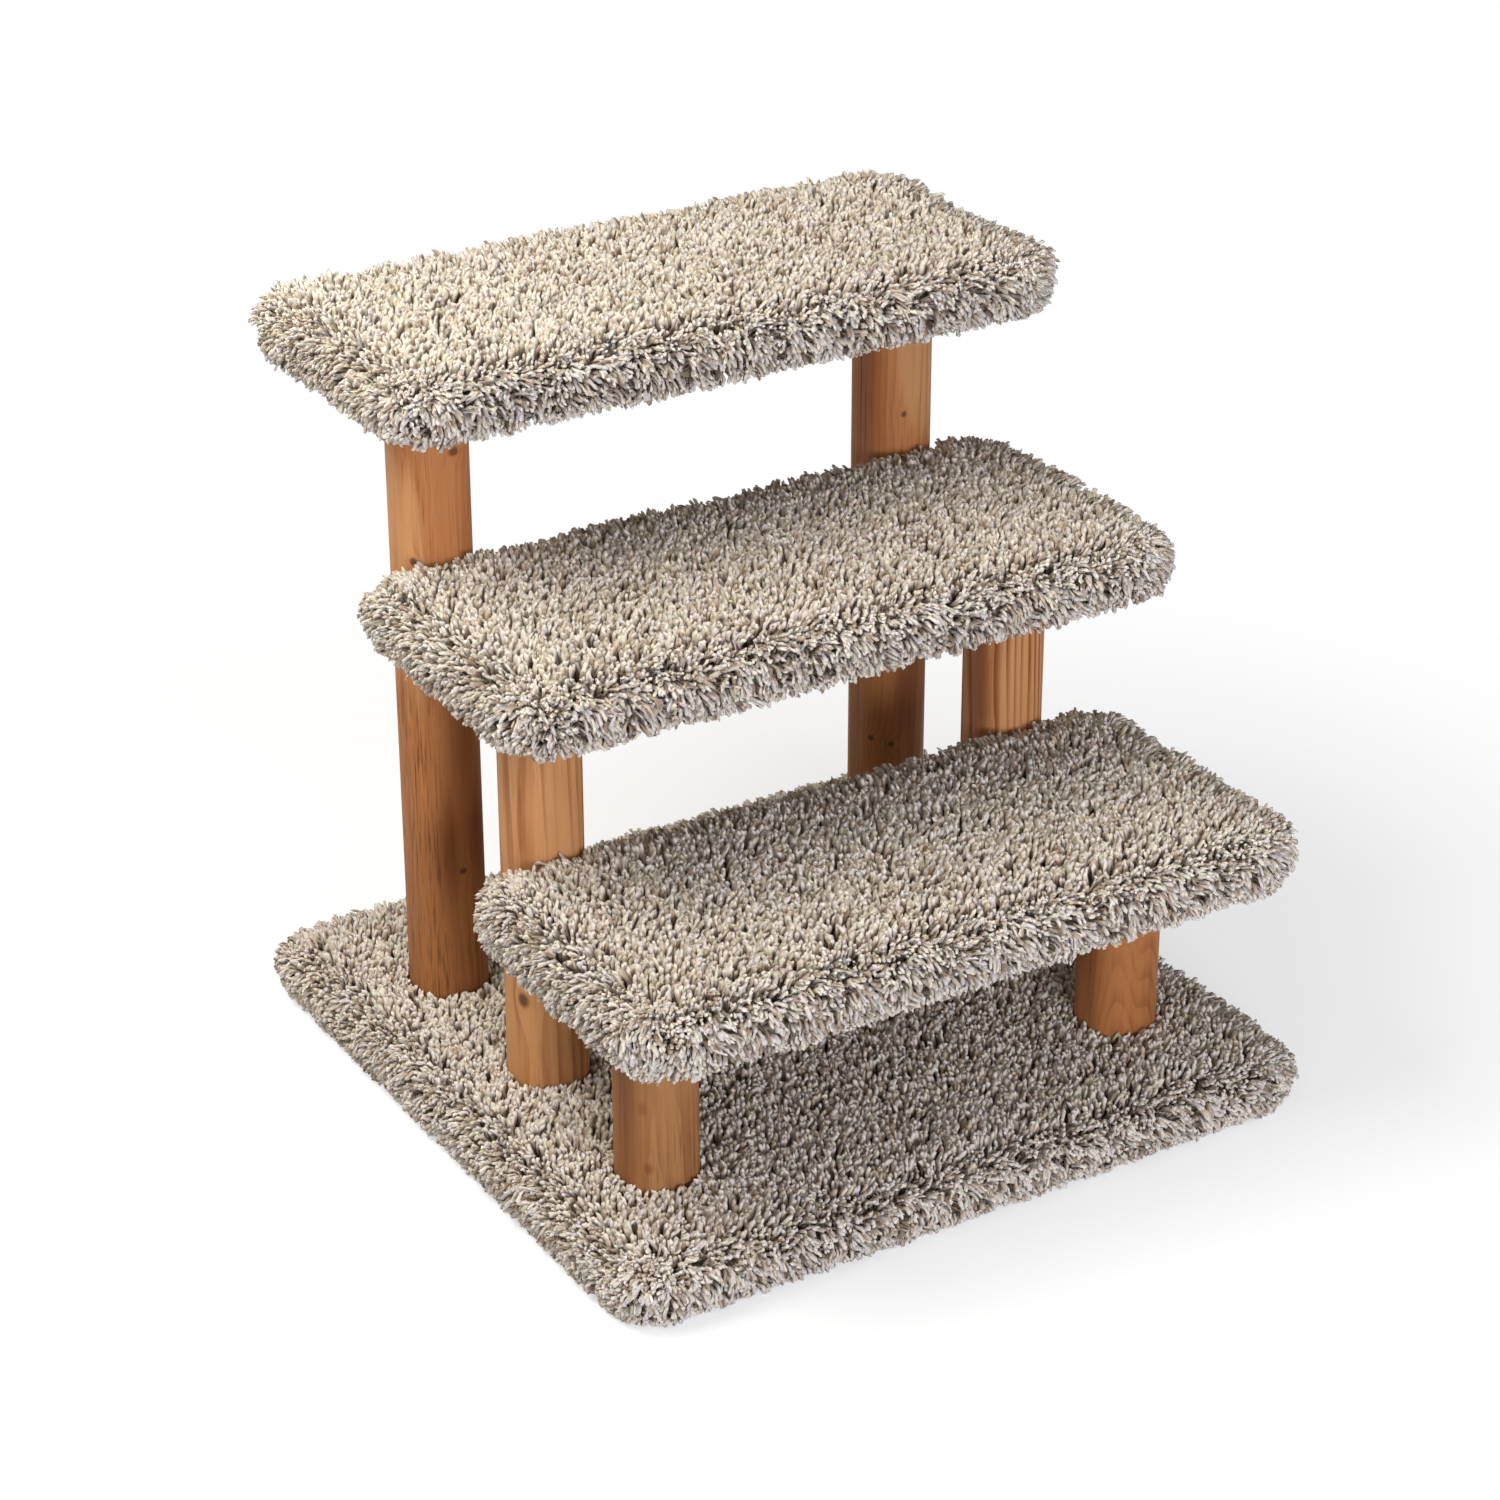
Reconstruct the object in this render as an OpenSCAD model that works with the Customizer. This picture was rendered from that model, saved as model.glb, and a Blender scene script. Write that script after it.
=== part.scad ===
// Three-step pet stairs: a carpeted base, six wooden posts and three carpeted steps.
// The origin is the middle of the footprint on the floor. The steps climb towards +Y.

/* [Steps] */
// Width of each bare step board
step_w = 600; // [540:1:680]
// Depth of each bare step board
step_d = 260; // [200:1:320]
// Height of each step above the one below it
step_rise = 194; // [140:1:240]
// Distance from the back of a step board to the posts of the next step
post_clear = 10; // [6:0.5:30]

/* [Base] */
// Distance that the base board stands out to each side of the step boards
side_overhang = 17; // [0:0.5:60]
// Distance that the base board stands out in front of the lowest step board
front_overhang = 4; // [0:0.5:60]
// Distance that the base board stands out behind the highest step board
back_overhang = 9.5; // [0:0.5:60]

/* [Boards] */
// Thickness of the plywood boards
board_t = 19; // [15:0.5:25]
// Radius of the boards' corners, seen from above
board_r = 34; // [20:1:60]

/* [Posts] */
// Length of the two shortest posts
first_post_l = 198; // [140:1:260]
// Width across the flats of a post
post_w = 63.5; // [50:0.5:76]
// Radius of the four long edges of a post
post_r = 24; // [4:0.5:24.5]
// Distance between a post and the carpet's flap at the side of its step
post_flap_gap = 9.25; // [2:0.25:60]
// Distance of each post's centre line in front of the middle of its step
post_forward = 8; // [0:1:20]

/* [Carpet] */
// Thickness of the standing pile and its backing on top of a board
pile_top = 25; // [18:0.5:32]
// Thickness of the leaning pile and its backing round the edge of a board
pile_side = 20; // [15:0.5:26]
// Thickness of the hanging pile and its backing under a step board
pile_under = 15; // [10:0.5:20]
// Thickness of the crushed pile and its backing under the base board
pile_crushed = 10; // [7:0.5:14]
// Thickness of the woven backing alone
backing_t = 3; // [2:0.1:4]
// Width of the flap that is turned under a step board
step_flap = 32; // [24:0.5:40]
// Width of the flap that is turned under the base board
base_flap = 40; // [24:1:60]
// Roundness of the pile over the upper edge of a board
upper_round = 22; // [8:0.5:24]
// Roundness of the pile under the lower edge of a step board
lower_round = 14; // [4:0.5:18]
// Roundness of the pile where the base meets the floor
floor_round = 7; // [2:0.5:12]

/* [Screws] */
// Diameter of a screw's shank
screw_d = 5; // [4:0.1:6]
// Length of a screw with its countersunk head
screw_l = 70; // [50:1:80]
// Diameter of a screw's head
head_d = 10; // [8:0.1:12]
// Height of a screw's countersunk head
head_h = 4; // [3:0.1:5]
// Length of a screw's point
screw_tip = 7; // [4:0.1:10]
// Width of the square drive in a screw's head
drive_w = 2.8; // [2:0.1:3.4]
// Depth of the square drive in a screw's head
drive_deep = 2.4; // [1.5:0.1:2.8]
// Distance between the two screws in each end of a post
screw_spread = 26; // [20:1:30]

/* [Staples] */
// Width of a staple's crown
staple_w = 11; // [8:0.5:14]
// Length of a staple's legs, with the crown
staple_l = 12; // [9:0.5:14]
// Thickness of the staple wire
wire_t = 1.2; // [0.8:0.1:1.6]
// Distance between two staples along a flap, at least
staple_pitch = 80; // [50:1:120]

/* [Fits] */
// Free space round the screws and staples
fastener_gap = 0.1; // [0.05:0.05:0.3]
// Free space between the carpet and the edges of boards and posts
carpet_gap = 0.3; // [0.2:0.1:0.6]

/* [Hidden] */

// The levels are numbered from the lowest step.
top_level = 2;
levels = [0 : top_level];
sides = [-1, 1];
step_going = step_d / 2 + post_clear + post_w / 2 + post_forward;
base_w = step_w + 2 * side_overhang;
base_d = front_overhang + top_level * step_going + step_d + back_overhang;
base_z = pile_crushed;
base_top_z = base_z + board_t;
post_x = step_w / 2 - step_flap - post_flap_gap - post_w / 2;
overrun = 1;
$fn = 64;

function post_l(level) = first_post_l + level * step_rise;
function step_y(level) = front_overhang + level * step_going + step_d / 2 - base_d / 2;
function post_y(level) = step_y(level) - post_forward;
function step_z(level) = base_top_z + post_l(level);
function staple_count(run) = max(1, floor(run / staple_pitch));

// Flat outline with round corners, centred
module round_outline(w, d, r) {
    square([w - 2 * r, d], center = true);
    square([w, d - 2 * r], center = true);
    for (x = sides, y = sides)
        translate([x * (w / 2 - r), y * (d / 2 - r)])
            circle(r);
}

module board_blank(w, d) {
    linear_extrude(height = board_t)
        round_outline(w, d, board_r);
}

// Half of a carpet's section: it runs from the middle out to the rounded edge
module pile_section(run, thick, upper_r, lower_r) {
    translate([0, lower_r])
        square([run, thick - upper_r - lower_r]);
    square([run - lower_r, lower_r]);
    translate([0, thick - upper_r])
        square([run - upper_r, upper_r]);
    translate([run - upper_r, thick - upper_r])
        circle(upper_r);
    translate([run - lower_r, lower_r])
        circle(lower_r);
}

// Slab with round corners and round edges, on the plane z = 0
module pile_slab(w, d, thick, r, upper_r, lower_r) {
    translate([r - w / 2, r - d / 2, 0])
        cube([w - 2 * r, d - 2 * r, thick]);
    for (turn = [0, 1, 2, 3]) {
        along = turn % 2 == 0 ? d - 2 * r : w - 2 * r;
        out = turn % 2 == 0 ? w / 2 - r : d / 2 - r;
        rotate([0, 0, 90 * turn]) {
            translate([out, along / 2, 0])
                rotate([90, 0, 0])
                    linear_extrude(height = along)
                        pile_section(r, thick, upper_r, lower_r);
            translate([out, along / 2, 0])
                rotate_extrude(angle = 90)
                    pile_section(r, thick, upper_r, lower_r);
        }
    }
}

// Carpet over a board of the given size: the board lies at z = 0
module carpet_blank(w, d, under, flap, lower_r) {
    thick = pile_top + board_t + under;
    upper_r = min(upper_round, thick / 2);
    difference() {
        translate([0, 0, -under])
            pile_slab(w + 2 * pile_side, d + 2 * pile_side, thick, board_r + pile_side,
                      upper_r, min(lower_r, thick - upper_r));
        linear_extrude(height = board_t)
            round_outline(w + 2 * carpet_gap, d + 2 * carpet_gap, board_r + carpet_gap);
        translate([flap - w / 2, flap - d / 2, -under - overrun])
            cube([w - 2 * flap, d - 2 * flap, under + 2 * overrun]);
    }
}

// Room in a carpet for the two posts of a level, from z = low to z = high
module post_room(level, low, high) {
    for (x = sides)
        translate([x * post_x, post_y(level), low])
            linear_extrude(height = high - low)
                round_outline(post_w + 2 * carpet_gap, post_w + 2 * carpet_gap,
                              post_r + carpet_gap);
}

// Screw, or its hole with a free space g, head up at z = 0
module screw(g) {
    shank_r = screw_d / 2 + g;
    head_r = head_d / 2 + g;
    deep = screw_l + g;
    rotate_extrude()
        polygon([
            [0, 0], [head_r, 0], [shank_r, -head_h], [shank_r, screw_tip - deep], [0, -deep]
        ]);
}

module drive_screw() {
    difference() {
        screw(0);
        translate([-drive_w / 2, -drive_w / 2, -drive_deep])
            cube([drive_w, drive_w, drive_deep + overrun]);
    }
}

// Screws at one end of the two posts of a level: pointing down, or up from below
module screw_pair_places(level, upward) {
    for (x = sides, y = sides)
        translate([x * post_x, post_y(level) + y * screw_spread / 2, 0])
            rotate([upward ? 180 : 0, 0, 0])
                children();
}

module step_screw_shapes(level, g) {
    translate([0, 0, step_z(level) + board_t])
        screw_pair_places(level, false)
            if (g > 0) screw(g); else drive_screw();
}

module base_screw_shapes(level, g) {
    translate([0, 0, base_z])
        screw_pair_places(level, true)
            if (g > 0) screw(g); else drive_screw();
}

// Staple, or its slot with a free space g, that holds a backing against the plane z = 0.
// A slot reaches down through the pile by the length reach.
module staple(g, reach) {
    crown_z = -backing_t - wire_t;
    translate([-staple_w / 2 - g, -wire_t / 2 - g, crown_z - reach])
        cube([staple_w + 2 * g, wire_t + 2 * g, wire_t + reach]);
    for (x = sides)
        translate([x * (staple_w - wire_t) / 2 - wire_t / 2 - g, -wire_t / 2 - g, crown_z])
            cube([wire_t + 2 * g, wire_t + 2 * g, staple_l + g]);
}

// Staples along the middle of the flap under a board of the given size
module staple_ring(w, d, flap, g, reach) {
    for (turn = [0, 1, 2, 3]) {
        side = turn % 2 == 0 ? w : d - 2 * flap;
        out = turn % 2 == 0 ? d / 2 : w / 2;
        count = staple_count(side);
        rotate([0, 0, 90 * turn])
            for (i = [0 : count - 1])
                translate([(i + 0.5) * side / count - side / 2, flap / 2 - out, 0])
                    staple(g, reach);
    }
}

module base_board() {
    color("burlywood")
        difference() {
            translate([0, 0, base_z])
                board_blank(base_w, base_d);
            for (level = levels)
                base_screw_shapes(level, fastener_gap);
            translate([0, 0, base_z])
                staple_ring(base_w, base_d, base_flap, fastener_gap, 0);
        }
}

module step_board(level) {
    color("burlywood")
        difference() {
            translate([0, step_y(level), step_z(level)])
                board_blank(step_w, step_d);
            step_screw_shapes(level, fastener_gap);
            translate([0, step_y(level), step_z(level)])
                staple_ring(step_w, step_d, step_flap, fastener_gap, 0);
        }
}

module post(level, side) {
    color("peru")
        difference() {
            translate([side * post_x, post_y(level), base_top_z])
                linear_extrude(height = post_l(level))
                    round_outline(post_w, post_w, post_r);
            base_screw_shapes(level, fastener_gap);
            step_screw_shapes(level, fastener_gap);
        }
}

module base_carpet() {
    color("tan")
        difference() {
            translate([0, 0, base_z])
                carpet_blank(base_w, base_d, pile_crushed, base_flap, floor_round);
            for (level = levels)
                post_room(level, base_top_z - overrun, base_top_z + pile_top + overrun);
            translate([0, 0, base_z])
                staple_ring(base_w, base_d, base_flap, fastener_gap, pile_crushed);
        }
}

// The posts of the next step press into the pile at the back of a step.
module step_carpet(level) {
    color("tan")
        difference() {
            translate([0, step_y(level), step_z(level)])
                carpet_blank(step_w, step_d, pile_under, step_flap, lower_round);
            translate([0, step_y(level), step_z(level)])
                staple_ring(step_w, step_d, step_flap, fastener_gap, pile_under);
            if (level < top_level)
                post_room(level + 1, step_z(level) - pile_under - overrun,
                          step_z(level) + board_t + pile_top + overrun);
        }
}

module step_screws(level) {
    color("silver")
        step_screw_shapes(level, 0);
}

module base_screws(level) {
    color("silver")
        base_screw_shapes(level, 0);
}

module base_staples() {
    color("silver")
        translate([0, 0, base_z])
            staple_ring(base_w, base_d, base_flap, 0, 0);
}

module step_staples(level) {
    color("silver")
        translate([0, step_y(level), step_z(level)])
            staple_ring(step_w, step_d, step_flap, 0, 0);
}

base_board();
step_board(0);  // lower_step_board
step_board(1);  // middle_step_board
step_board(top_level);  // upper_step_board
post(0, -1);  // lower_left_post
post(0, 1);  // lower_right_post
post(1, -1);  // middle_left_post
post(1, 1);  // middle_right_post
post(top_level, -1);  // upper_left_post
post(top_level, 1);  // upper_right_post
base_carpet();
step_carpet(0);  // lower_step_carpet
step_carpet(1);  // middle_step_carpet
step_carpet(top_level);  // upper_step_carpet
step_screws(0);  // lower_step_screws
step_screws(1);  // middle_step_screws
step_screws(top_level);  // upper_step_screws
base_screws(0);  // lower_base_screws
base_screws(1);  // middle_base_screws
base_screws(top_level);  // upper_base_screws
base_staples();
step_staples(0);  // lower_step_staples
step_staples(1);  // middle_step_staples
step_staples(top_level);  // upper_step_staples
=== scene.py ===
"""Pet stairs: a carpeted base, six wooden posts and three carpeted steps.

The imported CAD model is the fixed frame. Its boards, posts, screws and staples stay and get their
materials here. Its four plain carpets are replaced by a woven backing stretched round each board
and by the yarn tufts that stand on it. All lengths are metres.
"""

import math
from collections import namedtuple

import bpy
import numpy as np
from bpy.props import FloatProperty, FloatVectorProperty, IntProperty, PointerProperty
from mathutils import Matrix, Vector


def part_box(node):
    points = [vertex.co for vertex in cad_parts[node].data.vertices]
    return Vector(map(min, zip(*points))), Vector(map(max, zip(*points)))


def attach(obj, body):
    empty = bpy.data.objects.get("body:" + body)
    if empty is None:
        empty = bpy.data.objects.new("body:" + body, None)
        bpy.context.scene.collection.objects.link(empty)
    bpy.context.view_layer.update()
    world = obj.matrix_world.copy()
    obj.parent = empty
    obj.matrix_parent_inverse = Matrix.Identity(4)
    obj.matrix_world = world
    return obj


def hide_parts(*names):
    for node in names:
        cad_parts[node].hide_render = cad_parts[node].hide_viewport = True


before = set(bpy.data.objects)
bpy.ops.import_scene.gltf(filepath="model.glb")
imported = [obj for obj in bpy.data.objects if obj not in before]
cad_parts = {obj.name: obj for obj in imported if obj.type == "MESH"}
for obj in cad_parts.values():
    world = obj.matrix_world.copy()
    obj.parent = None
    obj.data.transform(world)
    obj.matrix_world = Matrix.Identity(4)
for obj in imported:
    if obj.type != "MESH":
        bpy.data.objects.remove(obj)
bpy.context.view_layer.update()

bl_info = {
    "name": "Pet stairs",
    "version": (1, 0, 0),
    "blender": (4, 5, 0),
    "location": "View3D > Sidebar > Pet stairs",
    "description": "Carpet, wood and studio for a packed model of pet stairs",
    "category": "Object",
}

LEVELS = ("lower", "middle", "upper")
SIDES = ("left", "right")

# Sizes of the build that the nodes' boxes don't give, as in the CAD model's source
BOARD_CORNER = 0.034
POST_CORNER = 0.024
BACKING = 0.003
STEP_FLAP = 0.032
BASE_FLAP = 0.040

# Room between the backing and a post and a board, its bend at an edge and its least corner radius
HOLE_GAP = 0.0003
BOARD_GAP = 0.0002
CORNER_BEND = 0.0021
LEAST_RADIUS = 0.0005

# How far in from a board's side its upright tufts end, and its edge tufts go underneath
TOP_BAND = 0.020
UNDER_LIP = 0.006

# Least room of a tuft's path above the floor and of a root beside a post, and a root's depth
FLOOR_CLEAR = 0.0012
ROOT_CLEAR = 0.0012
ROOT_DEPTH = 0.0008

# The base board is lower than this, and the step boards are higher
LOW_BOARD = 0.05

# Where along a tuft its rings are, with its tip at 1
TOP_RINGS = (0.0, 0.88)
EDGE_RINGS = (0.0, 0.34, 0.64, 0.90)

# How much closer roots stand where tufts fan out: down the edge, for their droop, round a corner
FAN_SHARE = 1.0
FAN_DROOP = 0.42
FAN_CORNER = 1.3

# Random lattices repeat after this many cells
LATTICE = 256

# A top is split into pieces of at most this many triangles, with this many to a tuft
PIECE_TRIANGLES = 185000
TOP_TUFT_TRIANGLES = 14

# The photo's width in pixels, and the camera's sensor in millimetres
PHOTO_SIZE = 1500
SENSOR = 36

WHITE = (1, 1, 1, 1)
COLOUR = {"size": 3, "min": 0, "max": 1}

Board = namedtuple("Board", "name middle half low high flap")
Post = namedtuple("Post", "middle half low high")


# Settings


class PileSettings(bpy.types.PropertyGroup):
    """Sizes and colours of the yarn tufts."""

    top_spacing: FloatProperty(
        name="Top spacing", description="Distance between tufts on the flat tops",
        default=0.0043, min=0.003, max=0.02, unit="LENGTH")
    edge_spacing: FloatProperty(
        name="Edge spacing", description="Distance between tufts round the edges",
        default=0.0047, min=0.003, max=0.02, unit="LENGTH")
    under_spacing: FloatProperty(
        name="Underside spacing", description="Distance between tufts on the turned-under flaps",
        default=0.0062, min=0.003, max=0.02, unit="LENGTH")
    height: FloatProperty(
        name="Pile height", description="Length of a tuft on the tops",
        default=0.0216, min=0.005, max=0.04, unit="LENGTH")
    edge_length: FloatProperty(
        name="Edge length", description="Length of a tuft on the edges",
        default=0.0204, min=0.005, max=0.04, unit="LENGTH")
    under_length: FloatProperty(
        name="Underside length", description="Length of a tuft on the flaps under the steps",
        default=0.0118, min=0.003, max=0.03, unit="LENGTH")
    tuft_width: FloatProperty(
        name="Tuft width", description="Width of a cut tuft on the tops",
        default=0.0043, min=0.001, max=0.01, unit="LENGTH")
    wisp_width: FloatProperty(
        name="Wisp width", description="Width of a tuft on the edges, where the yarn opens",
        default=0.0035, min=0.001, max=0.01, unit="LENGTH")
    clump: FloatProperty(
        name="Clump size", description="Distance between the clumps into which edge tufts gather",
        default=0.0118, min=0.005, max=0.05, unit="LENGTH")
    cream: FloatVectorProperty(
        name="Cream yarn", description="Colour of most of the yarn",
        default=(0.79, 0.72, 0.625), subtype="COLOR", **COLOUR)
    lilac: FloatVectorProperty(
        name="Grey yarn", description="Colour of the light grey yarn",
        default=(0.745, 0.685, 0.65), subtype="COLOR", **COLOUR)
    greige: FloatVectorProperty(
        name="Greige yarn", description="Colour of the darker beige yarn",
        default=(0.62, 0.52, 0.40), subtype="COLOR", **COLOUR)
    brown: FloatVectorProperty(
        name="Brown ply", description="Colour of the brown ply twisted into some tufts",
        default=(0.25, 0.15, 0.085), subtype="COLOR", **COLOUR)
    seed: IntProperty(
        name="Seed", description="Starts the same random pile each time", default=17, min=0)


class BackingSettings(bpy.types.PropertyGroup):
    """The woven backing that holds the tufts."""

    # Darker than bare jute, so the deep gaps between the tufts look shaded: partly jute colour, partly
    # painted shade.
    colour: FloatVectorProperty(
        name="Backing colour", description="Colour of the woven jute",
        default=(0.30, 0.235, 0.165), subtype="COLOR", **COLOUR)
    cell: FloatProperty(
        name="Mesh cell", description="Size of the faces of the stretched backing",
        default=0.012, min=0.003, max=0.05, unit="LENGTH")
    thread: FloatProperty(
        name="Thread pitch", description="Distance between the backing's woven threads",
        default=0.0022, min=0.0005, max=0.01, unit="LENGTH")


class WoodSettings(bpy.types.PropertyGroup):
    """Colours of the stained posts and the plywood."""

    light: FloatVectorProperty(
        name="Early wood", description="Colour of the pale part of each ring",
        default=(0.54, 0.212, 0.072), subtype="COLOR", **COLOUR)
    golden: FloatVectorProperty(
        name="Sapwood", description="Colour of the wood far from the pith",
        default=(0.60, 0.288, 0.118), subtype="COLOR", **COLOUR)
    dark: FloatVectorProperty(
        name="Late wood", description="Colour of the dark line of each ring",
        default=(0.265, 0.076, 0.020), subtype="COLOR", **COLOUR)
    knot: FloatVectorProperty(
        name="Knot", description="Colour of the knots",
        default=(0.095, 0.028, 0.009), subtype="COLOR", **COLOUR)
    plywood: FloatVectorProperty(
        name="Plywood", description="Colour of the boards' faces",
        default=(0.56, 0.40, 0.24), subtype="COLOR", **COLOUR)


class StageSettings(bpy.types.PropertyGroup):
    """Light and floor of the studio."""

    fill: FloatProperty(
        name="Fill light", description="Level of the even light from all round",
        default=0.29, min=0, max=2)
    key: FloatProperty(
        name="Key light", description="Level of the soft light from above at the upper step",
        default=1.27, min=0, max=2)
    front: FloatProperty(
        name="Front light", description="Level of the soft light from the front",
        default=0.74, min=0, max=2)
    side: FloatProperty(
        name="Side light", description="Level of the broad light from the left, in front and above",
        default=0.14, min=0, max=2)
    fill_colour: FloatVectorProperty(
        name="Fill colour", description="Colour of the even light",
        default=(1.0, 0.96, 0.91), subtype="COLOR", **COLOUR)
    front_colour: FloatVectorProperty(
        name="Front colour", description="Colour of the light from the front",
        default=(0.86, 0.89, 1.0), subtype="COLOR", **COLOUR)
    key_colour: FloatVectorProperty(
        name="Key colour", description="Colour of the light from above",
        default=(0.975, 0.95, 0.86), subtype="COLOR", **COLOUR)
    floor: FloatVectorProperty(
        name="Floor", description="Colour of the pale floor",
        default=(0.55, 0.555, 0.57), subtype="COLOR", **COLOUR)


SETTINGS = {
    "stairs_pile": PileSettings,
    "stairs_backing": BackingSettings,
    "stairs_wood": WoodSettings,
    "stairs_stage": StageSettings,
}


# What the frame says


def footprint(node):
    """A node's middle and half size seen from above, its underside and its top."""
    low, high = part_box(node)
    middle = np.array([(low.x + high.x) / 2, (low.y + high.y) / 2])
    half = np.array([(high.x - low.x) / 2, (high.y - low.y) / 2])
    return middle, half, low.z, high.z


def board(node, flap):
    """A board's place and size, read from the frame, and the width of its carpet's flap."""
    return Board(node, *footprint(node), flap)


def post(node):
    """A square post's middle, half width, foot and head, read from the frame."""
    middle, half, low, high = footprint(node)
    return Post(middle, half[0], low, high)


def boards():
    """The base board and the three step boards, from the floor up."""
    steps = [board(f"{level}_step_board", STEP_FLAP) for level in LEVELS]
    return [board("base_board", BASE_FLAP)] + steps


def posts():
    """All six posts."""
    return [post(f"{level}_{side}_post") for level in LEVELS for side in SIDES]


def carpet_name(piece):
    """The name of the carpet on a board, such as upper_step_carpet."""
    return piece.name.replace("_board", "_carpet")


# Shapes as functions of arrays


def ramp(x, low, high):
    """0 below low and 1 above high, straight between them."""
    return np.clip((x - low) / (high - low), 0, 1)


def soft_noise(x, y, cell, seed):
    """Noise from -1 to 1: random values on a square lattice, eased between the four corners."""
    values = np.random.default_rng(seed).uniform(-1, 1, (LATTICE, LATTICE))
    u, v = x / cell, y / cell
    i, j = np.floor(u).astype(int), np.floor(v).astype(int)
    fu, fv = u - i, v - j
    fu, fv = fu * fu * (3 - 2 * fu), fv * fv * (3 - 2 * fv)
    i, j, next_i, next_j = (k % LATTICE for k in (i, j, i + 1, j + 1))
    near = values[i, j] * (1 - fu) + values[next_i, j] * fu
    far = values[i, next_j] * (1 - fu) + values[next_i, next_j] * fu
    return near * (1 - fv) + far * fv


def clump_middle(x, y, cell, seed):
    """The nearest clump middle to each point: one random place in each square of a lattice."""
    places = np.random.default_rng(seed).uniform(0.1, 0.9, (LATTICE, LATTICE, 2))
    i, j = np.floor(x / cell).astype(int), np.floor(y / cell).astype(int)
    nearest = np.full(x.shape, np.inf)
    middle = np.zeros(x.shape + (2,))
    for di in (-1, 0, 1):
        for dj in (-1, 0, 1):
            at = places[(i + di) % LATTICE, (j + dj) % LATTICE]
            there = (np.stack([i + di, j + dj], -1) + at) * cell
            far = np.hypot(there[..., 0] - x, there[..., 1] - y)
            closer = far < nearest
            nearest = np.where(closer, far, nearest)
            middle = np.where(closer[..., None], there, middle)
    return middle


def outline(along, piece, out):
    """Points and outward directions on a board's rounded outline, moved out by a distance.

    The anchor runs round the rectangle of the four corner centres while the direction turns a
    quarter at each corner, and the point is the anchor plus the corner radius in that direction.
    An outline moved in past the corner radius shrinks the rectangle of the anchors instead.
    """
    centre = piece.half - BOARD_CORNER
    quarter = math.pi / 2 * BOARD_CORNER
    straight = 2 * centre[[0, 1, 0, 1]]
    knots = np.concatenate([[0], np.cumsum(np.stack([straight, np.full(4, quarter)], 1).ravel())])
    corner_x = np.array([-1, 1, 1, 1, 1, -1, -1, -1, -1])
    corner_y = np.array([-1, -1, -1, 1, 1, 1, 1, -1, -1])
    turns = np.array([-1, -1, 0, 0, 1, 1, 2, 2, 3]) * math.pi / 2
    angle = np.interp(along, knots, turns)
    direction = np.stack([np.cos(angle), np.sin(angle)], -1)
    reach = BOARD_CORNER + out
    shrink = np.minimum(reach - LEAST_RADIUS, 0)
    x = np.interp(along, knots, corner_x) * (centre[0] + shrink)
    y = np.interp(along, knots, corner_y) * (centre[1] + shrink)
    anchor = np.stack([x, y], -1) + piece.middle
    return anchor + np.maximum(reach, LEAST_RADIUS)[..., None] * direction, direction


def outline_length(piece):
    """The length of a board's rounded outline."""
    return 4 * (piece.half - BOARD_CORNER).sum() + 2 * math.pi * BOARD_CORNER


def outside_rectangle(points, middle, half, corner):
    """How far points are outside a rounded rectangle, below 0 inside it, with the way out.

    The distance is the length of what lies past the corner centre, less the corner radius. The
    way out is along that part, or across the nearest side.
    """
    offset = points - middle
    past = np.abs(offset) - (half - corner)
    outer = np.maximum(past, 0)
    length = np.hypot(outer[..., 0], outer[..., 1])
    inner = np.minimum(past.max(-1), 0)
    distance = length + inner - corner
    nothing = 1e-9
    widest = np.where(past[..., 0] > past[..., 1], 1.0, 0.0)
    across = np.stack([widest, 1 - widest], -1)
    outward = outer / np.maximum(length, nothing)[..., None]
    way = np.where(length[..., None] > nothing, outward, across)
    return distance, way * np.where(offset < 0, -1.0, 1.0)


def clear_of_posts(points, margin):
    """Moves points that lie in a post out through its nearest side, to a margin from it."""
    moved = points.copy()
    for p in posts():
        distance, way = outside_rectangle(moved[..., :2], p.middle, p.half, POST_CORNER)
        beside = (moved[..., 2] > p.low - margin) & (moved[..., 2] < p.high + margin)
        push = np.where(beside, np.maximum(margin - distance, 0), 0)
        moved[..., :2] += way * push[..., None]
    return moved


def free_of_posts(points, margin):
    """True for the roots that no post stands on."""
    free = np.ones(len(points), bool)
    for p in posts():
        distance, _ = outside_rectangle(points[:, :2], p.middle, p.half, POST_CORNER)
        beside = (points[:, 2] > p.low - margin) & (points[:, 2] < p.high + margin)
        free &= ~beside | (distance > margin)
    return free


# Meshes


def mesh_object(name, points, loops, sizes, smooth=True):
    """An object at the origin from points, the faces' corners in one row, and each face's count."""
    mesh = bpy.data.meshes.new(name)
    mesh.vertices.add(len(points))
    mesh.vertices.foreach_set("co", points.astype(np.float32).ravel())
    mesh.loops.add(len(loops))
    mesh.loops.foreach_set("vertex_index", loops.astype(np.int32))
    mesh.polygons.add(len(sizes))
    starts = np.concatenate([[0], np.cumsum(sizes)[:-1]])
    mesh.polygons.foreach_set("loop_start", starts.astype(np.int32))
    mesh.polygons.foreach_set("use_smooth", np.full(len(sizes), smooth))
    mesh.update(calc_edges=True)
    thing = bpy.data.objects.new(name, mesh)
    bpy.context.scene.collection.objects.link(thing)
    return thing


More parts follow.
